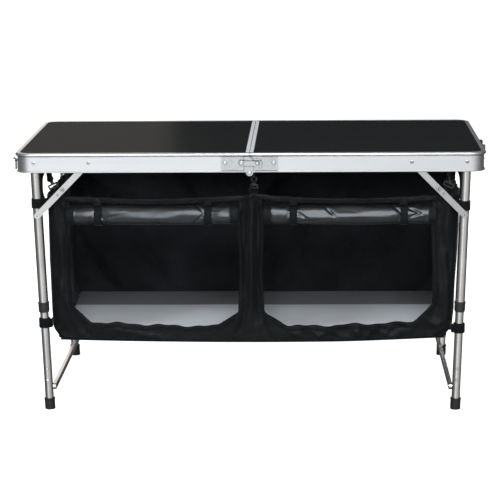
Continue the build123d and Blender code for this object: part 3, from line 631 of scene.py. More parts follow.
def front_wrinkles(x, z):
    """Distance the front cloth stands proud at a point."""
    outer = smoothstep(opening_outer - 0.01, opening_outer + 0.02, abs(x))
    low = smoothstep(opening_bottom + 0.03, opening_bottom - 0.01, z)
    proud = sum(ridge(x, z, *fold) for fold in FRONT_FOLDS)
    proud += crease(x, z, 84, 0.03, 8.0, 3.1) * 0.0016 * max(outer, 0.25)
    proud += crease(x, z, 97, 0.045, 5.0, 6.4) * 0.0022 * (1 - low)
    proud += crease(x, z, 68, 0.06, 5.0, 9.7) * 0.002 * outer
    puckers = 0.4 + smoothstep(0.02, 0.3, x) * 0.8
    proud += crease(x, z, 35, 0.024, 2.5, 5.3) * 0.0026 * low * puckers
    for hook_x in (0.02 - bag_half, centre_hook_x, bag_half - 0.02):
        proud += gather(x, z, hook_x) * 0.0042
    column = exp(-((x / 0.03) ** 2)) * 0.003
    return proud + column + noise.noise(Vector((x * 7, z * 5, 1.7))) * 0.002


def back_wrinkles(x, z):
    """Distance the back cloth is pushed out, with slanted drag lines."""
    drag = crease(x, z, 118 if x < 0 else 52, 0.085, 6.0, 12.4) * 0.009
    edge = smoothstep(bag_half, bag_half - 0.05, abs(x))
    soft = noise.noise(Vector((x * 5, z * 6, 4.2))) * 0.006
    return (drag + soft) * edge * smoothstep(bag_bottom, bag_bottom + 0.05, z)


def end_wrinkles(y, z, seed):
    """Distance an end wall bellies out."""
    belly = 0.004 * sin(pi * (z - bag_bottom) / (bag_top - bag_bottom))
    drape = crease(y, z, 80, 0.05, 4.0, seed) * 0.003
    return (belly + drape) * smoothstep(bag_front, bag_front + 0.05, y)


def side_shift(x, z):
    """Outward lean of the ends towards the top and the pulled-in bottom corners."""
    rise = (z - bag_bottom) / (bag_top - bag_bottom)
    reach = 0.012 * rise**1.5 if x > 0 else -0.001
    tuck = 0.02 * smoothstep(bag_bottom + 0.05, bag_bottom - 0.004, z) ** 2
    share = smoothstep(bag_half - 0.1, bag_half, abs(x))
    return (reach - 0.004 * (1 - rise) - tuck) * share * (1 if x > 0 else -1)


def perimeter():
    """Places round the shell, each with its outward normal and the wall it is on."""
    found = []
    right = bag_half - corner_radius
    left = -right
    low_y = bag_front + corner_radius
    high_y = bag_back - corner_radius
    places = ((right, low_y), (right, high_y), (left, high_y), (left, low_y))
    centres = [Vector((*place, 0)) for place in places]
    for k, (kind, cells) in enumerate((("front", 176), ("end", 64), ("back", 176), ("end", 64))):
        turn = radians(90) * (k - 1)
        normal = Vector((round(cos(turn)), round(sin(turn)), 0))
        start = centres[k - 1] + normal * corner_radius
        end = centres[k] + normal * corner_radius
        found += [(start.lerp(end, i / cells), normal, kind) for i in range(cells + 1)]
        for step in range(1, 5):
            angle = turn + radians(90) * step / 5
            out = Vector((cos(angle), sin(angle), 0))
            found.append((centres[k] + out * corner_radius, out, "corner"))
    return found


def opening_distance(x, z, side=0):
    """Signed distance to the nearer opening, negative inside it."""
    side = side or (-1 if x < 0.001 else 1)
    across = x * side
    wave = 0.0022 * sin(x * 52 + 0.7) + 0.0014 * sin(x * 121)
    wave += 0.010 * smoothstep(0.12, 0.45, across) - 0.002
    edges = (
        opening_inner - across + 0.002 * sin(z * 30),
        across - opening_outer - 0.002 * sin(z * 22 + x),
        opening_bottom + wave - z,
        z - (hem_height(x, bag_front) - 0.0095),
        (across - opening_outer + 0.055 + opening_bottom - z) * 0.7071,
        (opening_inner + 0.057 - across) * 0.56 + (opening_bottom - z) * 0.83,
    )
    top = max(edges)
    soft = 0.006
    return top + soft * 0.25 * (sum(exp((edge - top) / soft) for edge in edges) - 1)


def bottom_drop(x):
    """How far the bottom edge hangs below its ends."""
    return 0.008 * (1 - (x / bag_half) ** 2) - 0.005 * smoothstep(0.2, bag_half, x)


def shell_point(place, normal, kind, z):
    """Point of the outer cloth at a height, with all its sag and wrinkles."""
    x = place.x
    proud = 0.0005
    if kind == "front":
        proud += front_wrinkles(x, z)
    elif kind == "back":
        proud += back_wrinkles(x, z)
    elif kind == "end":
        proud += end_wrinkles(place.y, z, 21.3 if x < 0 else 33.9)
    point = place + normal * proud
    point.x += side_shift(x, z)
    point.z = z - bottom_drop(x) * smoothstep(bag_bottom + 0.12, bag_bottom, z)
    return point


def pull_to_outline(point):
    """Move a point of an opening's ragged edge onto the opening's outline."""
    home = point.copy()
    step = 0.0005
    for _ in range(4):
        here = opening_distance(point.x, point.z)
        slope_x = (opening_distance(point.x + step, point.z) - here) / step
        slope_z = (opening_distance(point.x, point.z + step) - here) / step
        steep = max(0.2, slope_x**2 + slope_z**2)
        point.x -= here * slope_x / steep
        point.z -= here * slope_z / steep
    if (point - home).length > 0.008:
        point.xyz = home


def build_shell():
    """The walls as one continuous sheet with both openings, turned under at the bottom."""
    rows = 66
    stride = rows + 1
    low = bag_bottom + 0.006
    points, uvs, faces, arc = [], [], [], []
    run = 0.0
    previous = stations[-1][0]
    for place, normal, kind in stations:
        run += (place - previous).length
        previous = place
        arc.append(run)
        top = hem_height(place.x, place.y)
        for j in range(stride):
            z = low + (top - low) * j / rows
            points.append(shell_point(place, normal, kind, z))
            uvs.append((run, z))
    count = len(stations)
    for i in range(count):
        k = (i + 1) % count
        for j in range(rows):
            a, b = i * stride + j, k * stride + j
            face = (a, b, b + 1, a + 1)
            if stations[i][2] == "front" and stations[k][2] == "front":
                middle = sum((points[c] for c in face), Vector()) / 4
                if opening_distance(middle.x, middle.z) < 0:
                    continue
            faces.append(face)
    uses = {}
    for face in faces:
        for edge in zip(face, face[1:] + face[:1]):
            key = tuple(sorted(edge))
            uses[key] = uses.get(key, 0) + 1
    rim = {vertex for edge, number in uses.items() if number == 1 for vertex in edge}
    for point in (points[vertex] for vertex in rim):
        if point.y < bag_front + 0.03 and bag_bottom + 0.012 < point.z < opening_top + 0.01:
            pull_to_outline(point)
    under = len(points)
    for i, (place, normal, kind) in enumerate(stations):
        wall = points[i * stride]
        for drop, inset in ((0.004, 0.0015), (0.0062, 0.006)):
            points.append(wall - normal * inset - Z_AXIS * drop)
            uvs.append((arc[i], bag_bottom - drop))
    for i in range(count):
        k = (i + 1) % count
        a, b = under + 2 * i, under + 2 * k
        faces.append((a, b, k * stride, i * stride))
        faces.append((a + 1, b + 1, b, a))
    walls = make_object("organiser_shell", points, faces, bag_cloth, uvs)
    return walls, points[under + 1 :: 2]


stations = perimeter()
shell, base_rim = build_shell()
thicken(shell, offset=-1.0, levels=1)
shell.data.materials.append(lining)
for polygon in shell.data.polygons:
    middle = polygon.center
    deep = abs(middle.y) > abs(middle.x) * bag_back / bag_half
    facing = -polygon.normal.y * middle.y if deep else -polygon.normal.x * middle.x
    if facing > 0 and middle.z < bag_top - 0.025:
        polygon.material_index = 1
walls = ("left_front_wall", "right_front_wall", "left_back_wall", "right_back_wall")
fit(shell, stands_for=(*walls, "left_end_wall", "right_end_wall"))


def base_place(u, v):
    """Underside cloth inside the turned-under rim, slightly bellied."""
    x_low, x_high = min(p.x for p in base_rim), max(p.x for p in base_rim)
    y_low, y_high = min(p.y for p in base_rim), max(p.y for p in base_rim)
    x = x_low + (x_high - x_low) * u
    y = y_low + (y_high - y_low) * v
    ripple = noise.noise(Vector((x * 9, y * 9, 6.0))) * 0.0012
    belly = (ripple - 0.0025) * sin(pi * u) * sin(pi * v)
    return (x, y, bag_bottom + 0.0006 - bottom_drop(x) + belly), (x, y)


fit(thicken(sheet("organiser_base", 130, 60, base_place, bag_cloth)))


def round_shell(offset, drop=None):
    """Closed path just outside the shell: below its top edge, or along its bottom."""
    path = []
    for place, normal, kind in stations:
        height = bag_bottom + 0.0065 if drop is None else hem_height(place.x, place.y) - drop
        path.append(shell_point(place, normal, kind, height) + normal * offset)
    return path


OUTLINE_POINTS = 240


def opening_outline(side, offset):
    """Points round an opening's edge, moved outward, on the cloth's surface."""
    path = []
    centre_x = side * (opening_inner + opening_outer) / 2
    centre_z = (opening_bottom + opening_top) / 2
    for k in range(OUTLINE_POINTS):
        angle = tau * k / OUTLINE_POINTS
        low, high = 0.0, 0.4
        for _ in range(26):
            reach = (low + high) / 2
            x = centre_x + cos(angle) * reach
            z = centre_z + sin(angle) * reach * 0.75
            if opening_distance(x, z, side) < offset:
                low = reach
            else:
                high = reach
        x = centre_x + cos(angle) * low
        z = centre_z + sin(angle) * low * 0.75
        cloth = shell_point(Vector((x, bag_front, 0)), -Y_AXIS, "front", z)
        path.append(Vector((x, cloth.y, z)))
    return path


STITCH_PITCH = 0.0055
STITCH_LENGTH = 0.0034
STITCH_RADIUS = 0.00035


def stitch_row(name, path):
    """Row of short raised stitches along a closed path."""
    points, faces = [], []
    loop = path + [path[0]]
    marks = [0.0]
    for a, b in zip(loop, loop[1:]):
        marks.append(marks[-1] + (b - a).length)
    where, segment = 0.0, 0
    while where + STITCH_LENGTH < marks[-1]:
        ends = []
        for distance in (where, where + STITCH_LENGTH):
            while segment < len(marks) - 2 and marks[segment + 1] < distance:
                segment += 1
            span = max(1e-9, marks[segment + 1] - marks[segment])
            ends.append(loop[segment].lerp(loop[segment + 1], (distance - marks[segment]) / span))
        start, end = ends
        along = (end - start).normalized()
        up = along.cross(-Y_AXIS)
        up = Z_AXIS if up.length < 0.1 else up.normalized()
        out = up.cross(along)
        faces += skin(3, 4, first=len(points))
        for spot, size in ((start, 0.35), ((start + end) / 2, 1.0), (end, 0.35)):
            for a, b in ((1, 0), (0, 1), (-1, 0), (0, -1)):
                points.append(spot + (up * a + out * b) * STITCH_RADIUS * size)
        where += STITCH_PITCH
    fit(make_object(name, points, faces, thread))


fit(cord("base_piping", round_shell(0.0006), 0.0022))
fit(ribbon("hem_binding", round_shell(0.0008, 0.0048), Z_AXIS, 0.0092, 0.0016, True, bag_cloth))
for word, side in HALVES:
    inner = opening_outline(side, 0.001)
    outer = opening_outline(side, 0.0125)
    middle = [(a + b) / 2 - Y_AXIS * 0.0011 for a, b in zip(inner, outer)]

    def across_tape(share):
        k = round(share * (OUTLINE_POINTS - 1))
        return outer[k] - inner[k]

    fit(ribbon(f"{word}_opening_binding", middle, across_tape, 0.0125, 0.0016, True, binding))
    fit(cord(f"{word}_opening_edge", opening_outline(side, 0.0012), 0.0019))
    for number, offset in enumerate((0.004, 0.0105)):
        path = [point - Y_AXIS * 0.0024 for point in opening_outline(side, offset)]
        stitch_row(f"{word}_opening_stitches_{number}", path)
for number, drop in enumerate((0.0022, 0.0078)):
    stitch_row(f"hem_stitches_{number}", round_shell(0.0018, drop))

# ---- Inside the organiser: divider and floors ----


def divider_place(v, w):
    """Loose cloth wall between the compartments."""
    low = bag_front + 0.003
    high = bag_back - 0.003
    y = low + (high - low) * v
    z = floor_level - 0.002 + (bag_top - 0.004 - floor_level) * w
    fixed = sin(pi * v) * smoothstep(0.0, 0.2, w)
    belly = crease(y, z, 75, 0.07, 3.0, 44.0) * 0.006
    sag = 0.02 * sin(pi * v) * w * w
    middle_x = (divider_box[0].x + divider_box[1].x) / 2
    return (middle_x + belly * fixed, y, z - sag), (y, z)


fit(thicken(sheet("divider", 70, 54, divider_place, lining)), stands_for=("centre_divider",))


def padded_board(name, xs, ys, levels, thickness, material):
    """Cloth-covered board with rounded edges, slightly crowned, between two heights."""
    cells_x, cells_y = 70, 34
    edge = 0.004
    points, uvs = [], []
    for lower in (False, True):
        for i in range(cells_x + 1):
            for j in range(cells_y + 1):
                u, v = i / cells_x, j / cells_y
                x = xs[0] + (xs[1] - xs[0]) * u
                y = ys[0] + (ys[1] - ys[0]) * v
                from_x = min(u, 1 - u) * (xs[1] - xs[0])
                from_y = min(v, 1 - v) * (ys[1] - ys[0])
                rim = min(1.0, from_x / edge, from_y / edge)
                pinch = thickness / 2 * (1 - sqrt(max(0.0, 1 - (1 - rim) ** 2)))
                wave = noise.noise(Vector((x * 5, y * 5, 8.5))) * 0.0008
                height = levels[0] + (levels[1] - levels[0]) * v + wave
                points.append(Vector((x, y, height + (pinch - thickness if lower else -pinch))))
                uvs.append((x, y))
    stride = cells_y + 1
    half = len(points) // 2
    faces = []
    for upper, under in zip(lattice(cells_x, cells_y), lattice(cells_x, cells_y, half)):
        faces += [flipped(upper), under]
    border = [i * stride for i in range(cells_x + 1)]
    border += [cells_x * stride + j for j in range(1, stride)]
    border += [i * stride + cells_y for i in range(cells_x - 1, -1, -1)]
    border += list(range(cells_y - 1, 0, -1))
    for a, b in zip(border, border[1:] + border[:1]):
        faces.append((a, half + a, half + b, b))
    return make_object(name, points, faces, material, uvs)


# the light board ends where the painted shadow starts; the rear floor behind it wears the darker
# painted-shadow cloth
board_back = 0.115
for word, side in HALVES:
    xs = sorted((side * (bag_half - 0.018), side * 0.008))
    ys = (bag_front + 0.008, board_back)
    levels = (floor_level, floor_level + 0.0005)
    board = padded_board(f"{word}_board", xs, ys, levels, 0.005, board_cloth)
    fit(board, stands_for=(f"{word}_floor_board",))
    ys = (board_back - 0.004, bag_back - 0.006)
    levels = (floor_level - 0.001, floor_level + 0.008)
    fit(padded_board(f"{word}_rear_floor", xs, ys, levels, 0.004, painted_shadow_cloth))

# ---- Rolled-up doors and their straps ----

ROLL_TILT = radians(20)
ROLL_RADIUS = 0.024
# rings that step in across a roll's end: share of its radius, depth
SPIRAL = (
    (0.86, -0.0006), (0.8, 0.003), (0.68, 0.0), (0.62, 0.003), (0.48, 0.0), (0.42, 0.003), (0.2, 0.001)
)


def roll_section(angle, middle, half_height, half_depth):
    """Point of the roll's leaning oval section; the front leans back at the top."""
    out = -cos(angle) * half_depth
    up = sin(angle) * half_height
    y = out * cos(ROLL_TILT) + up * sin(ROLL_TILT)
    z = up * cos(ROLL_TILT) - out * sin(ROLL_TILT) * 0.4
    return middle + Vector((0, y, z))


def fold_line(x, angle, at_x, at_angle, direction, length, width, depth):
    """One sharp crease in the rolled vinyl, as a signed height."""
    dx = x - at_x
    dz = (angle - at_angle) * ROLL_RADIUS
    along = dx * cos(direction) + dz * sin(direction)
    across = -dx * sin(direction) + dz * cos(direction)
    return depth * exp(-((along / length) ** 2)) * max(0.0, 1 - abs(across) / width)


# creases pressed into the right roll only: place, angle, direction, length, width, depth
RIGHT_CREASES = (
    (0.421, 0.30, -0.45, 0.016, 0.0045, 0.0030),
    (0.424, -0.15, 0.35, 0.014, 0.0040, 0.0024),
    (0.205, 0.25, -0.75, 0.016, 0.0050, 0.0024),
)


def vinyl_height(x, angle, strap_places, seed):
    """Height of the vinyl above the plain roll."""
    pinch = sum(exp(-(((x - place) / 0.022) ** 2)) for place in strap_places)
    height = -0.0022 * pinch
    for number, place in enumerate(strap_places):
        direction = 1 if place < sum(strap_places) / 2 else -1
        for spoke in range(2):
            phase = noise.noise(Vector((number * 3.7 + seed, spoke * 1.9, 0.4)))
            lean = radians(-34 + 62 * spoke) + phase * 0.8
            reach = 0.028 + 0.02 * abs(phase)
            start_x = place + direction * (0.014 + 0.5 * reach * cos(lean))
            start_angle = phase * 1.6 + 0.5 * sin(lean)
            height -= fold_line(x, angle, start_x, start_angle, lean * direction, reach, 0.0055, 0.0017)
    for fold in RIGHT_CREASES if seed > 2 else ():
        height -= fold_line(x, angle, *fold)
    height += noise.noise(Vector((x * 12, cos(angle) * 1.2, sin(angle) * 1.2 + seed))) * 0.0016
    ridges = abs(noise.noise(Vector((x * 34 + seed, sin(angle) * 1.7, cos(angle) * 1.7))))
    return height + (0.35 - ridges) * 0.0022 * (0.1 + pinch)


def build_roll(word, side):
    """Rolled door: glossy vinyl between two cloth-bound ends, its straps and its flap."""
    low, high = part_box(f"{word}_door_roll")
    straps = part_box(f"{word}_roll_straps")
    core = Vector((0, (low.y + high.y) / 2 - 0.001, (low.z + high.z) / 2))
    half_height = (high.z - low.z) / 2 - 0.0005
    half_depth = (high.y - low.y) / 2 + 0.0005
    places = (straps[0].x + 0.01, straps[1].x - 0.01)
    ends = (low.x + 0.001, high.x - 0.001)
    length = ends[1] - ends[0]
    bound = 0.022
    sag = 0.0025
    around, along = 72, 190
    points, uvs = [], []
    for i in range(along + 1):
        x = ends[0] + length * i / along
        from_end = min(x - ends[0], ends[1] - x)
        for k in range(around):
            angle = tau * k / around
            if from_end < bound:
                height = 0.0008 + noise.noise(Vector((x * 30, angle, 3.0))) * 0.0007
            else:
                height = vinyl_height(x, angle if angle < pi else angle - tau, places, 2.0 + side)
            spot = roll_section(angle, core, half_height, half_depth)
            point = spot + (spot - core).normalized() * (height - 0.0008)
            points.append(Vector((x, point.y, point.z - sag * sin(pi * i / along))))
            uvs.append((x, angle * ROLL_RADIUS))
    faces = skin(along + 1, around, caps=False)
    for ring, end_x, inward in ((0, ends[0], 1), (along, ends[1], -1)):
        rim = range(ring * around, (ring + 1) * around)
        edge = [points[vertex] for vertex in rim]
        for share, depth in SPIRAL:
            first = len(points)
            for spot in edge:
                inner = core + (spot - core) * share
                points.append(Vector((end_x + inward * depth, inner.y, inner.z)))
                uvs.append((inner.y, inner.z))
            for k in range(around):
                n = (k + 1) % around
                face = (rim[k], rim[n], first + n, first + k)
                faces.append(flipped(face) if inward > 0 else face)
            rim = range(first, first + around)
        faces.append(tuple(rim if inward > 0 else reversed(rim)))
    roll = make_object(f"{word}_rolled_door", points, faces, door_vinyl, uvs)
    roll.data.materials.append(binding)
    for polygon in roll.data.polygons:
        if min(polygon.center.x - ends[0], ends[1] - polygon.center.x) < bound:
            polygon.material_index = 1
    fit(roll, stands_for=(f"{word}_door_roll",))
    for number, place in enumerate(places):
        path = []
        for k in range(64):
            angle = tau * k / 64
            spot = roll_section(angle, core, half_height + 0.0012, half_depth + 0.0012)
            spot.x = place + 0.0006 * sin(3 * angle)
            spot.z -= sag * sin(pi * (place - ends[0]) / length)
            path.append(spot)
        loop = ribbon(f"{word}_roll_strap_{number}", path, X_AXIS, 0.019, 0.0014, True)
        fit(loop, stands_for=() if number else (f"{word}_roll_straps",))
        x, y, z = place, core.y - 0.012, core.z + half_height - 0.004
        tail = curve_through(((x, y, z), (x, y + 0.004, z + 0.006), (x, y + 0.008, z + 0.014)), 5)
        fit(ribbon(f"{word}_roll_strap_top_{number}", tail, X_AXIS, 0.019, 0.0014))

    def flap_place(u, t):
        x = ends[0] + 0.004 + (length - 0.008) * u
        top_z = hem_height(x, -1) - 0.006
        z = top_z + (core.z + half_height * 0.55 - top_z) * t
        y = bag_front + 0.009 + 0.004 * t + crease(x, z, 85, 0.02, 3.0, 15.0) * 0.0015
        return (x, y, z), (x, z)

    fit(thicken(sheet(f"{word}_door_flap", 120, 6, flap_place, bag_cloth), levels=1))


build_roll("left", -1)
build_roll("right", 1)

# ---- Webbing round the legs, tabs to the bag, and the straps to the hooks ----


def strap(name, knots, side, width, thickness=webbing_thickness, body=None, stands_for=(), steps=8):
    """Open webbing strap through knots."""
    piece = ribbon(name, curve_through(knots, steps), side, width, thickness)
    fit(piece, body, stands_for)


def leg_axis(word, side, sign, height):
    """Centre of a leg tube at a height, from the tubes' own boxes."""
    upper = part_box(f"{word}_upper_legs")
    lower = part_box(f"{word}_lower_legs")
    top_x = upper[0 if side < 0 else 1].x - side * 0.0125
    bottom_x = lower[1 if side < 0 else 0].x + side * 0.011
    share = (height - lower[0].z) / (upper[1].z - lower[0].z)
    return Vector((bottom_x + (top_x - bottom_x) * share, sign * 0.27, height))


def strap_round_leg(corner, number, height, inner):
    """Webbing loop round one leg with its tab sewn to the bag's corner."""
    word, side, end, sign = corner
    centre = leg_axis(word, side, sign, height)
    path = []
    for k in range(40):
        angle = tau * k / 40
        wobble = 1 + 0.03 * sin(3 * angle + height * 40)
        path.append(centre + Vector((cos(angle), sin(angle), 0)) * inner * wobble)
    loop = ribbon(f"{word}_{end}_leg_strap_{number}", path, Z_AXIS, 0.0245, 0.0017, True)
    first = sign < 0 and number == 0
    fit(loop, f"{word}_top", (f"{word}_leg_straps",) if first else ())
    bag_corner = Vector((side * (bag_half - 0.012), sign * (bag_back - 0.001), height - 0.001))
    knots = (
        centre + Vector((-side * 0.2 * inner, sign * inner * 0.98, 0)),
        centre + Vector((-side * 0.85 * inner, sign * inner * 0.72, 0.0005)),
        centre + Vector((-side * (inner + 0.005), sign * inner * 0.1, 0)),
        bag_corner + Vector((side * 0.004, sign * 0.003, 0.001)),
        bag_corner + Vector((-side * 0.012, sign * 0.0022, 0)),
    )
    strap(f"{word}_{end}_leg_tab_{number}", knots, Z_AXIS, 0.0235, 0.0017, f"{word}_top")


def corner_strap(corner):
    """Strap from the bag's corner up to the snap hook."""
    word, side, end, sign = corner
    hook_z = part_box(f"{word}_hooks")[0].z
    y = sign * hanger_y
    sewn_y = sign * (bag_back - 0.003)
    low_x = side * (bag_half - 0.032)
    knots = (
        (low_x, sewn_y, bag_top - 0.03),
        (low_x + side * 0.002, sewn_y, bag_top - 0.004),
        (low_x + side * 0.009, y, bag_top + 0.009),
        (low_x + side * 0.0150, y, hook_z + 0.0055),
        (low_x + side * 0.0170, y + sign * 0.0035, hook_z + 0.0078),
    )
    tilt = radians(22)
    across = Vector((cos(tilt), 0, -side * sin(tilt)))
    stands_for = (f"{word}_bag_webbing",) if sign < 0 else ()
    strap(f"{word}_{end}_corner_strap", knots, across, 0.019, body=f"{word}_top", stands_for=stands_for)


def riser(corner):
    """Strap that runs from under the rail down beside the leg to the upper leg strap."""
    word, side, end, sign = corner
    y = sign * 0.246
    knots = (
        (side * 0.530, y, rail_bottom + 0.02),
        (side * 0.534, y, rail_bottom - 0.004),
        (side * 0.5375, y, rail_bottom - 0.022),
        (side * 0.5385, y, rail_bottom - 0.045),
        (side * 0.5368, y, bag_top + 0.004),
        (side * 0.528, sign * 0.248, bag_top - 0.02),
    )

    def turned(share):
        turn = radians(20 + 52 * smoothstep(0.0, 0.45, share))
        return Vector((cos(turn), sign * side * sin(turn), 0))

    strap(f"{word}_{end}_riser", knots, turned, 0.016, body=f"{word}_top")


def folded_hanger(corner):
    """Webbing from the tab under the top, through a corner hook's ring and back up."""
    word, side, end, sign = corner
    x, low_x = side * 0.5205, side * 0.5175
    y = sign * hanger_y
    top = rail_bottom + 0.014
    low_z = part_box(f"{word}_hooks")[1].z - 0.0145
    middle_x, middle_z = (x + low_x) / 2, (top + low_z) / 2
    knots = (
        (x, y - 0.0045, top),
        (middle_x, y - 0.0050, middle_z),
        (low_x, y - 0.0048, low_z + 0.005),
        (low_x, y, low_z - 0.001),
        (low_x, y + 0.0048, low_z + 0.005),
        (middle_x, y + 0.0050, middle_z),
        (x, y + 0.0045, top),
    )
    strap(f"{word}_{end}_hanger_loop", knots, X_AXIS, 0.0125, body=f"{word}_top")


def centre_straps(end, sign):
    """Strap and its tail from the middle of the hem, and the loop that carries the centre hook."""
    x = centre_hook_x
    y = sign * hanger_y
    back = bag_back * sign
    knots = (
        (x, back + sign * 0.003, bag_top - 0.016),
        (x, back + sign * 0.001, bag_top + 0.004),
        (x, y, bag_top + 0.010),
        (x, y + sign * 0.003, bag_top + 0.0165),
    )
    strap(f"centre_{end}_strap", knots, X_AXIS, 0.019, 0.0022)
    knots = (
        (x - 0.009, back - sign * 0.003, bag_top + 0.001),
        (x - 0.010, back - sign * 0.002, bag_top + 0.012),
        (x - 0.010, back - sign * 0.001, bag_top + 0.020),
        (x - 0.008, back - sign * 0.003, bag_top + 0.026),
    )
    strap(f"centre_{end}_strap_tail", knots, X_AXIS, 0.007, steps=6)
    top = rail_bottom + 0.014
    low_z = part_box("right_hooks")[1].z - 0.0165
    knots = (
        (x - 0.008, y, top),
        (x - 0.006, y - sign * 0.001, (top + low_z) / 2),
        (x - 0.002, y + sign * 0.003, low_z),
        (x + 0.002, y + sign * 0.003, low_z),
        (x + 0.006, y - sign * 0.001, (top + low_z) / 2),
        (x + 0.008, y, top),
    )
    strap(f"centre_{end}_hanger_loop", knots, Y_AXIS, 0.007, 0.0022, "right_top")


for word, side in HALVES:
    low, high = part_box(f"{word}_leg_straps")
    heights = ((high.z - 0.012, 0.0139), (low.z + 0.012, 0.0142))
    for end, sign in DEPTHS:
        corner = (word, side, end, sign)
        for number, (height, inner) in enumerate(heights):
            strap_round_leg(corner, number, height, inner)
        corner_strap(corner)
        riser(corner)
        folded_hanger(corner)
for end, sign in DEPTHS:
    centre_straps(end, sign)

# ---- Rivet heads with painted shade ----

# profiles from back to front: distance along the axis, radius
KNEE_HEAD = (
    (-0.0004, 0.0053),
    (0.00010, 0.0052),
    (0.00012, 0.0043),
    (0.00020, 0.0034),
    (0.00020, 0.0027),
    (0.00010, 0.0022),
)
STOP_HEAD = ((-0.0004, 0.0034), (0.0001, 0.0033), (0.00015, 0.0026), (0.00015, 0.0018), (0.0001, 0.0013))
# dark disc standing for the shade inside a rivet's hollow
RIVET_HOLLOW_SHADE = ((-0.0002, 0.0021), (0.0001, 0.0020), (0.00015, 0.0014))


def turned_part(name, centre, sign, profile, body, material=rivet_metal, shade_rings=()):
    """Small part turned about Y that faces the front or the rear; the listed rings and the front cap get
    dark steel as painted shade.
    """
    axis = Y_AXIS * sign
    side = axis.orthogonal().normalized()
    up = axis.cross(side)
    around = 28
    points = []
    for along, radius in profile:
        for k in range(around):
            angle = tau * k / around
            points.append(centre + axis * along + (side * cos(angle) + up * sin(angle)) * radius)
    faces = skin(len(profile), around)
    piece = make_object(name, points, faces, material)
    piece.data.materials.append(dark_steel)
    # painted shade: the listed dark rings and the front cap
    for polygon in piece.data.polygons:
        if polygon.index // around in shade_rings or polygon.index == len(faces) - 1:
            polygon.material_index = 1
    fit(piece, body)


def rivet_hollow_shades(node, body):
    """Dark steel disc in the middle of every rivet head that faces the front or the rear: painted shade
    for the rivet's hollow.
    """
    piece = nodes[node]
    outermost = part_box(node)[1].y
    heads = []
    for vertex in piece.data.vertices:
        spot = piece.matrix_world @ vertex.co
        near = [head for head in heads if (head[0] - spot).length < 0.03]
        if near:
            near[0].append(spot)
        else:
            heads.append([spot])
    number = 0
    for head in heads:
        sign = 1 if head[0].y > 0 else -1
        face = max(sign * spot.y for spot in head)
        if face < outermost - 0.002:
            continue
        x = (min(spot.x for spot in head) + max(spot.x for spot in head)) / 2
        z = (min(spot.z for spot in head) + max(spot.z for spot in head)) / 2
        centre = Vector((x, sign * face, z))
        turned_part(f"{node}_hollow_{number}", centre, sign, RIVET_HOLLOW_SHADE, body, dark_steel)
        number += 1


for word, side in HALVES:
    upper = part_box(f"{word}_upper_links")
    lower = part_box(f"{word}_lower_links")
    outer = 0 if side < 0 else 1
    half_link = 0.008
    knee = Vector((upper[outer].x - side * half_link, 0, upper[0].z + half_link))
    foot = Vector((lower[outer].x - side * half_link, 0, lower[0].z + half_link))
    stop = knee + (foot - knee).normalized() * 0.0195
    for depth, (end, sign) in enumerate(DEPTHS):
        knee.y = upper[depth].y
        stop.y = lower[depth].y
        name = f"{word}_{end}_knee"
        # rivet heads: a dark outer ring and a dark centre painted as shade, a bright ring between
        turned_part(f"{name}_head", knee, sign, KNEE_HEAD, f"{word}_upper_brace", shade_rings=(1, 4))
        turned_part(f"{name}_stop", stop, sign, STOP_HEAD, f"{word}_lower_brace", shade_rings=(1, 3))
    # dark discs on rivet heads: painted shade in their hollows
    rivet_hollow_shades(f"{word}_rail_rivets", f"{word}_top")
    rivet_hollow_shades(f"{word}_link_rivets", f"{word}_leg_frame")

# ---- Studio: pale floor, soft lights, camera ----

WHITE = (1, 1, 1, 1)
# what metal sees round the table: share of a turn from the rear, brightness
STUDIO = (
    (0.0, 0.10), (0.194, 0.10), (0.290, 0.13), (0.345, 0.20), (0.395, 0.46), (0.440, 0.96),
    (0.467, 1.15), (0.494, 1.10), (0.506, 0.74), (0.520, 0.44), (0.545, 0.72), (0.600, 0.66),
    (0.660, 0.44), (0.736, 0.20, WARM), (0.792, 0.10), (1.0, 0.10),
)


def studio_brightness(tree, direction):
    """Brightness that polished metal sees in a direction: bright front, dim sides."""
    x, y, z = (split(tree, direction, axis) for axis in "XYZ")
    turn = calculate(tree, "ARCTAN2", x, calculate(tree, "MULTIPLY", y, -1.0))
    stops = [(place, grey(*tone)) for place, *tone in STUDIO]
    around = ramp(tree, remap(tree, turn, 0.0, 1.0, -pi, pi), stops)
    return scaled(tree, around, remap(tree, z, 0.15, 1.0, -0.8, -0.22, "SMOOTHSTEP"))


def build_world():
    """White to the camera, soft grey light, and the studio gradient in reflections."""
    world = bpy.data.worlds.new("studio")
    bpy.context.scene.world = world
    world.use_nodes = True
    tree = world.node_tree
    plain = tree.nodes["Background"]
    fill(tree, plain, {"Color": WHITE, "Strength": 0.28})
    path = add(tree, "LightPath")
    direction = add(tree, "TexCoord").outputs["Generated"]
    seen = add(tree, "Background", {"Color": WHITE, "Strength": 1.0})
    inputs = {"Color": studio_brightness(tree, direction), "Strength": 1.0}
    mirrored = add(tree, "Background", inputs)
    glossy = path.outputs["Is Glossy Ray"]
    lit = mixed(tree, glossy, plain.outputs["Background"], mirrored.outputs["Background"])
    shown = mixed(tree, path.outputs["Is Camera Ray"], lit, seen.outputs["Background"])
    fill(tree, tree.nodes["World Output"], {"Surface": shown})


def floor_material():
    """Pale floor that metal sees as part of the studio gradient."""
    material, tree, shader = new_material("studio_floor")
    path = add(tree, "LightPath")
    inputs = {
        "Base Color": (0.9, 0.9, 0.9, 1),
        "Roughness": 0.9,
        "Specular IOR Level": 0.0,
        "Emission Color": WHITE,
        "Emission Strength": calculate(tree, "MULTIPLY", path.outputs["Is Camera Ray"], 0.84),
    }
    fill(tree, shader, inputs)
    away = scaled(tree, surface(tree, "Incoming"), -1.0)
    inputs = {"Color": studio_brightness(tree, away), "Strength": 1.0}
    glow = add(tree, "Emission", inputs).outputs["Emission"]
    both = mixed(tree, path.outputs["Is Glossy Ray"], shader.outputs["BSDF"], glow)
    fill(tree, tree.nodes["Material Output"], {"Surface": both})
    return material


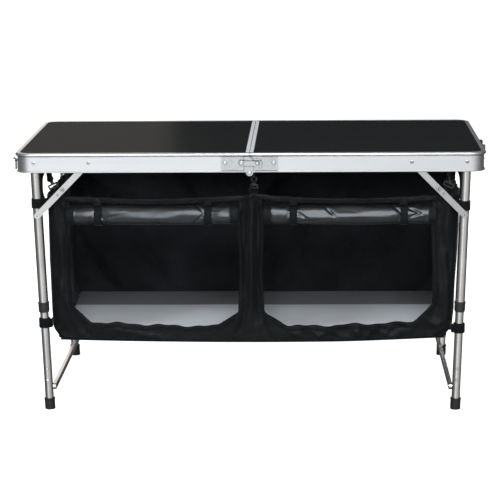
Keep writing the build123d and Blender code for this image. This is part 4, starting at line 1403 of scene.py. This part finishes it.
def area_light(name, place, target, size, power, mirrored=True):
    """Square soft light aimed at a point; mirrored says whether metal reflects it."""
    light = bpy.data.lights.new(name, "AREA")
    light.energy = power
    light.size = size
    lamp = bpy.data.objects.new(name, light)
    lamp.location = place
    lamp.rotation_mode = "QUATERNION"
    lamp.rotation_quaternion = (Vector(target) - Vector(place)).to_track_quat("-Z", "Y")
    lamp.visible_camera = False
    lamp.visible_glossy = mirrored
    bpy.context.scene.collection.objects.link(lamp)
    return lamp


def build_camera():
    """Camera in front of the table, slightly right of centre, looking down at it."""
    yaw, pitch, roll = radians(-1.91), radians(11.965), radians(-0.519)
    forward = Vector((sin(yaw) * cos(pitch), cos(yaw) * cos(pitch), -sin(pitch)))
    level = Vector((cos(yaw), -sin(yaw), 0))
    upright = level.cross(forward)
    right = level * cos(roll) + upright * sin(roll)
    up = upright * cos(roll) - level * sin(roll)
    data = bpy.data.cameras.new("camera")
    data.sensor_width = 36.0
    data.lens = 134.45
    data.clip_end = 100.0
    camera = bpy.data.objects.new("camera", data)
    basis = Matrix((right, up, -forward)).transposed().to_4x4()
    camera.matrix_world = Matrix.Translation(Vector((0.15494, -4.9637, 1.418687))) @ basis
    bpy.context.scene.collection.objects.link(camera)
    bpy.context.scene.camera = camera


build_world()
reach = 30.0
corners = [(x * reach, y * reach, -0.0005) for x, y in ((-1, -1), (1, -1), (1, 1), (-1, 1))]
make_object("floor", corners, [(0, 1, 2, 3)], floor_material())
area_light("key", (-3.6, -2.9, 1.9), (0, 0, 0.4), 1.2, 95, mirrored=False)
area_light("front", (0.3, -4.2, 3.0), (0, 0, 0.3), 2.2, 150)
area_light("top", (0, -0.6, 3.2), (0, 0, 0.6), 2.4, 22, mirrored=False)
area_light("back", (0.5, 3.2, 2.4), (0, 0, 0.5), 2.0, 22, mirrored=False)
glow = area_light("wall_glow", (-1.25, 2.5, 1.2), (-1.25, 0, 1.2), 1.7, 8)
glow.data.color = (1.0, 0.93, 0.84)
glow.visible_diffuse = False
bpy.context.scene.view_settings.view_transform = "Standard"
build_camera()
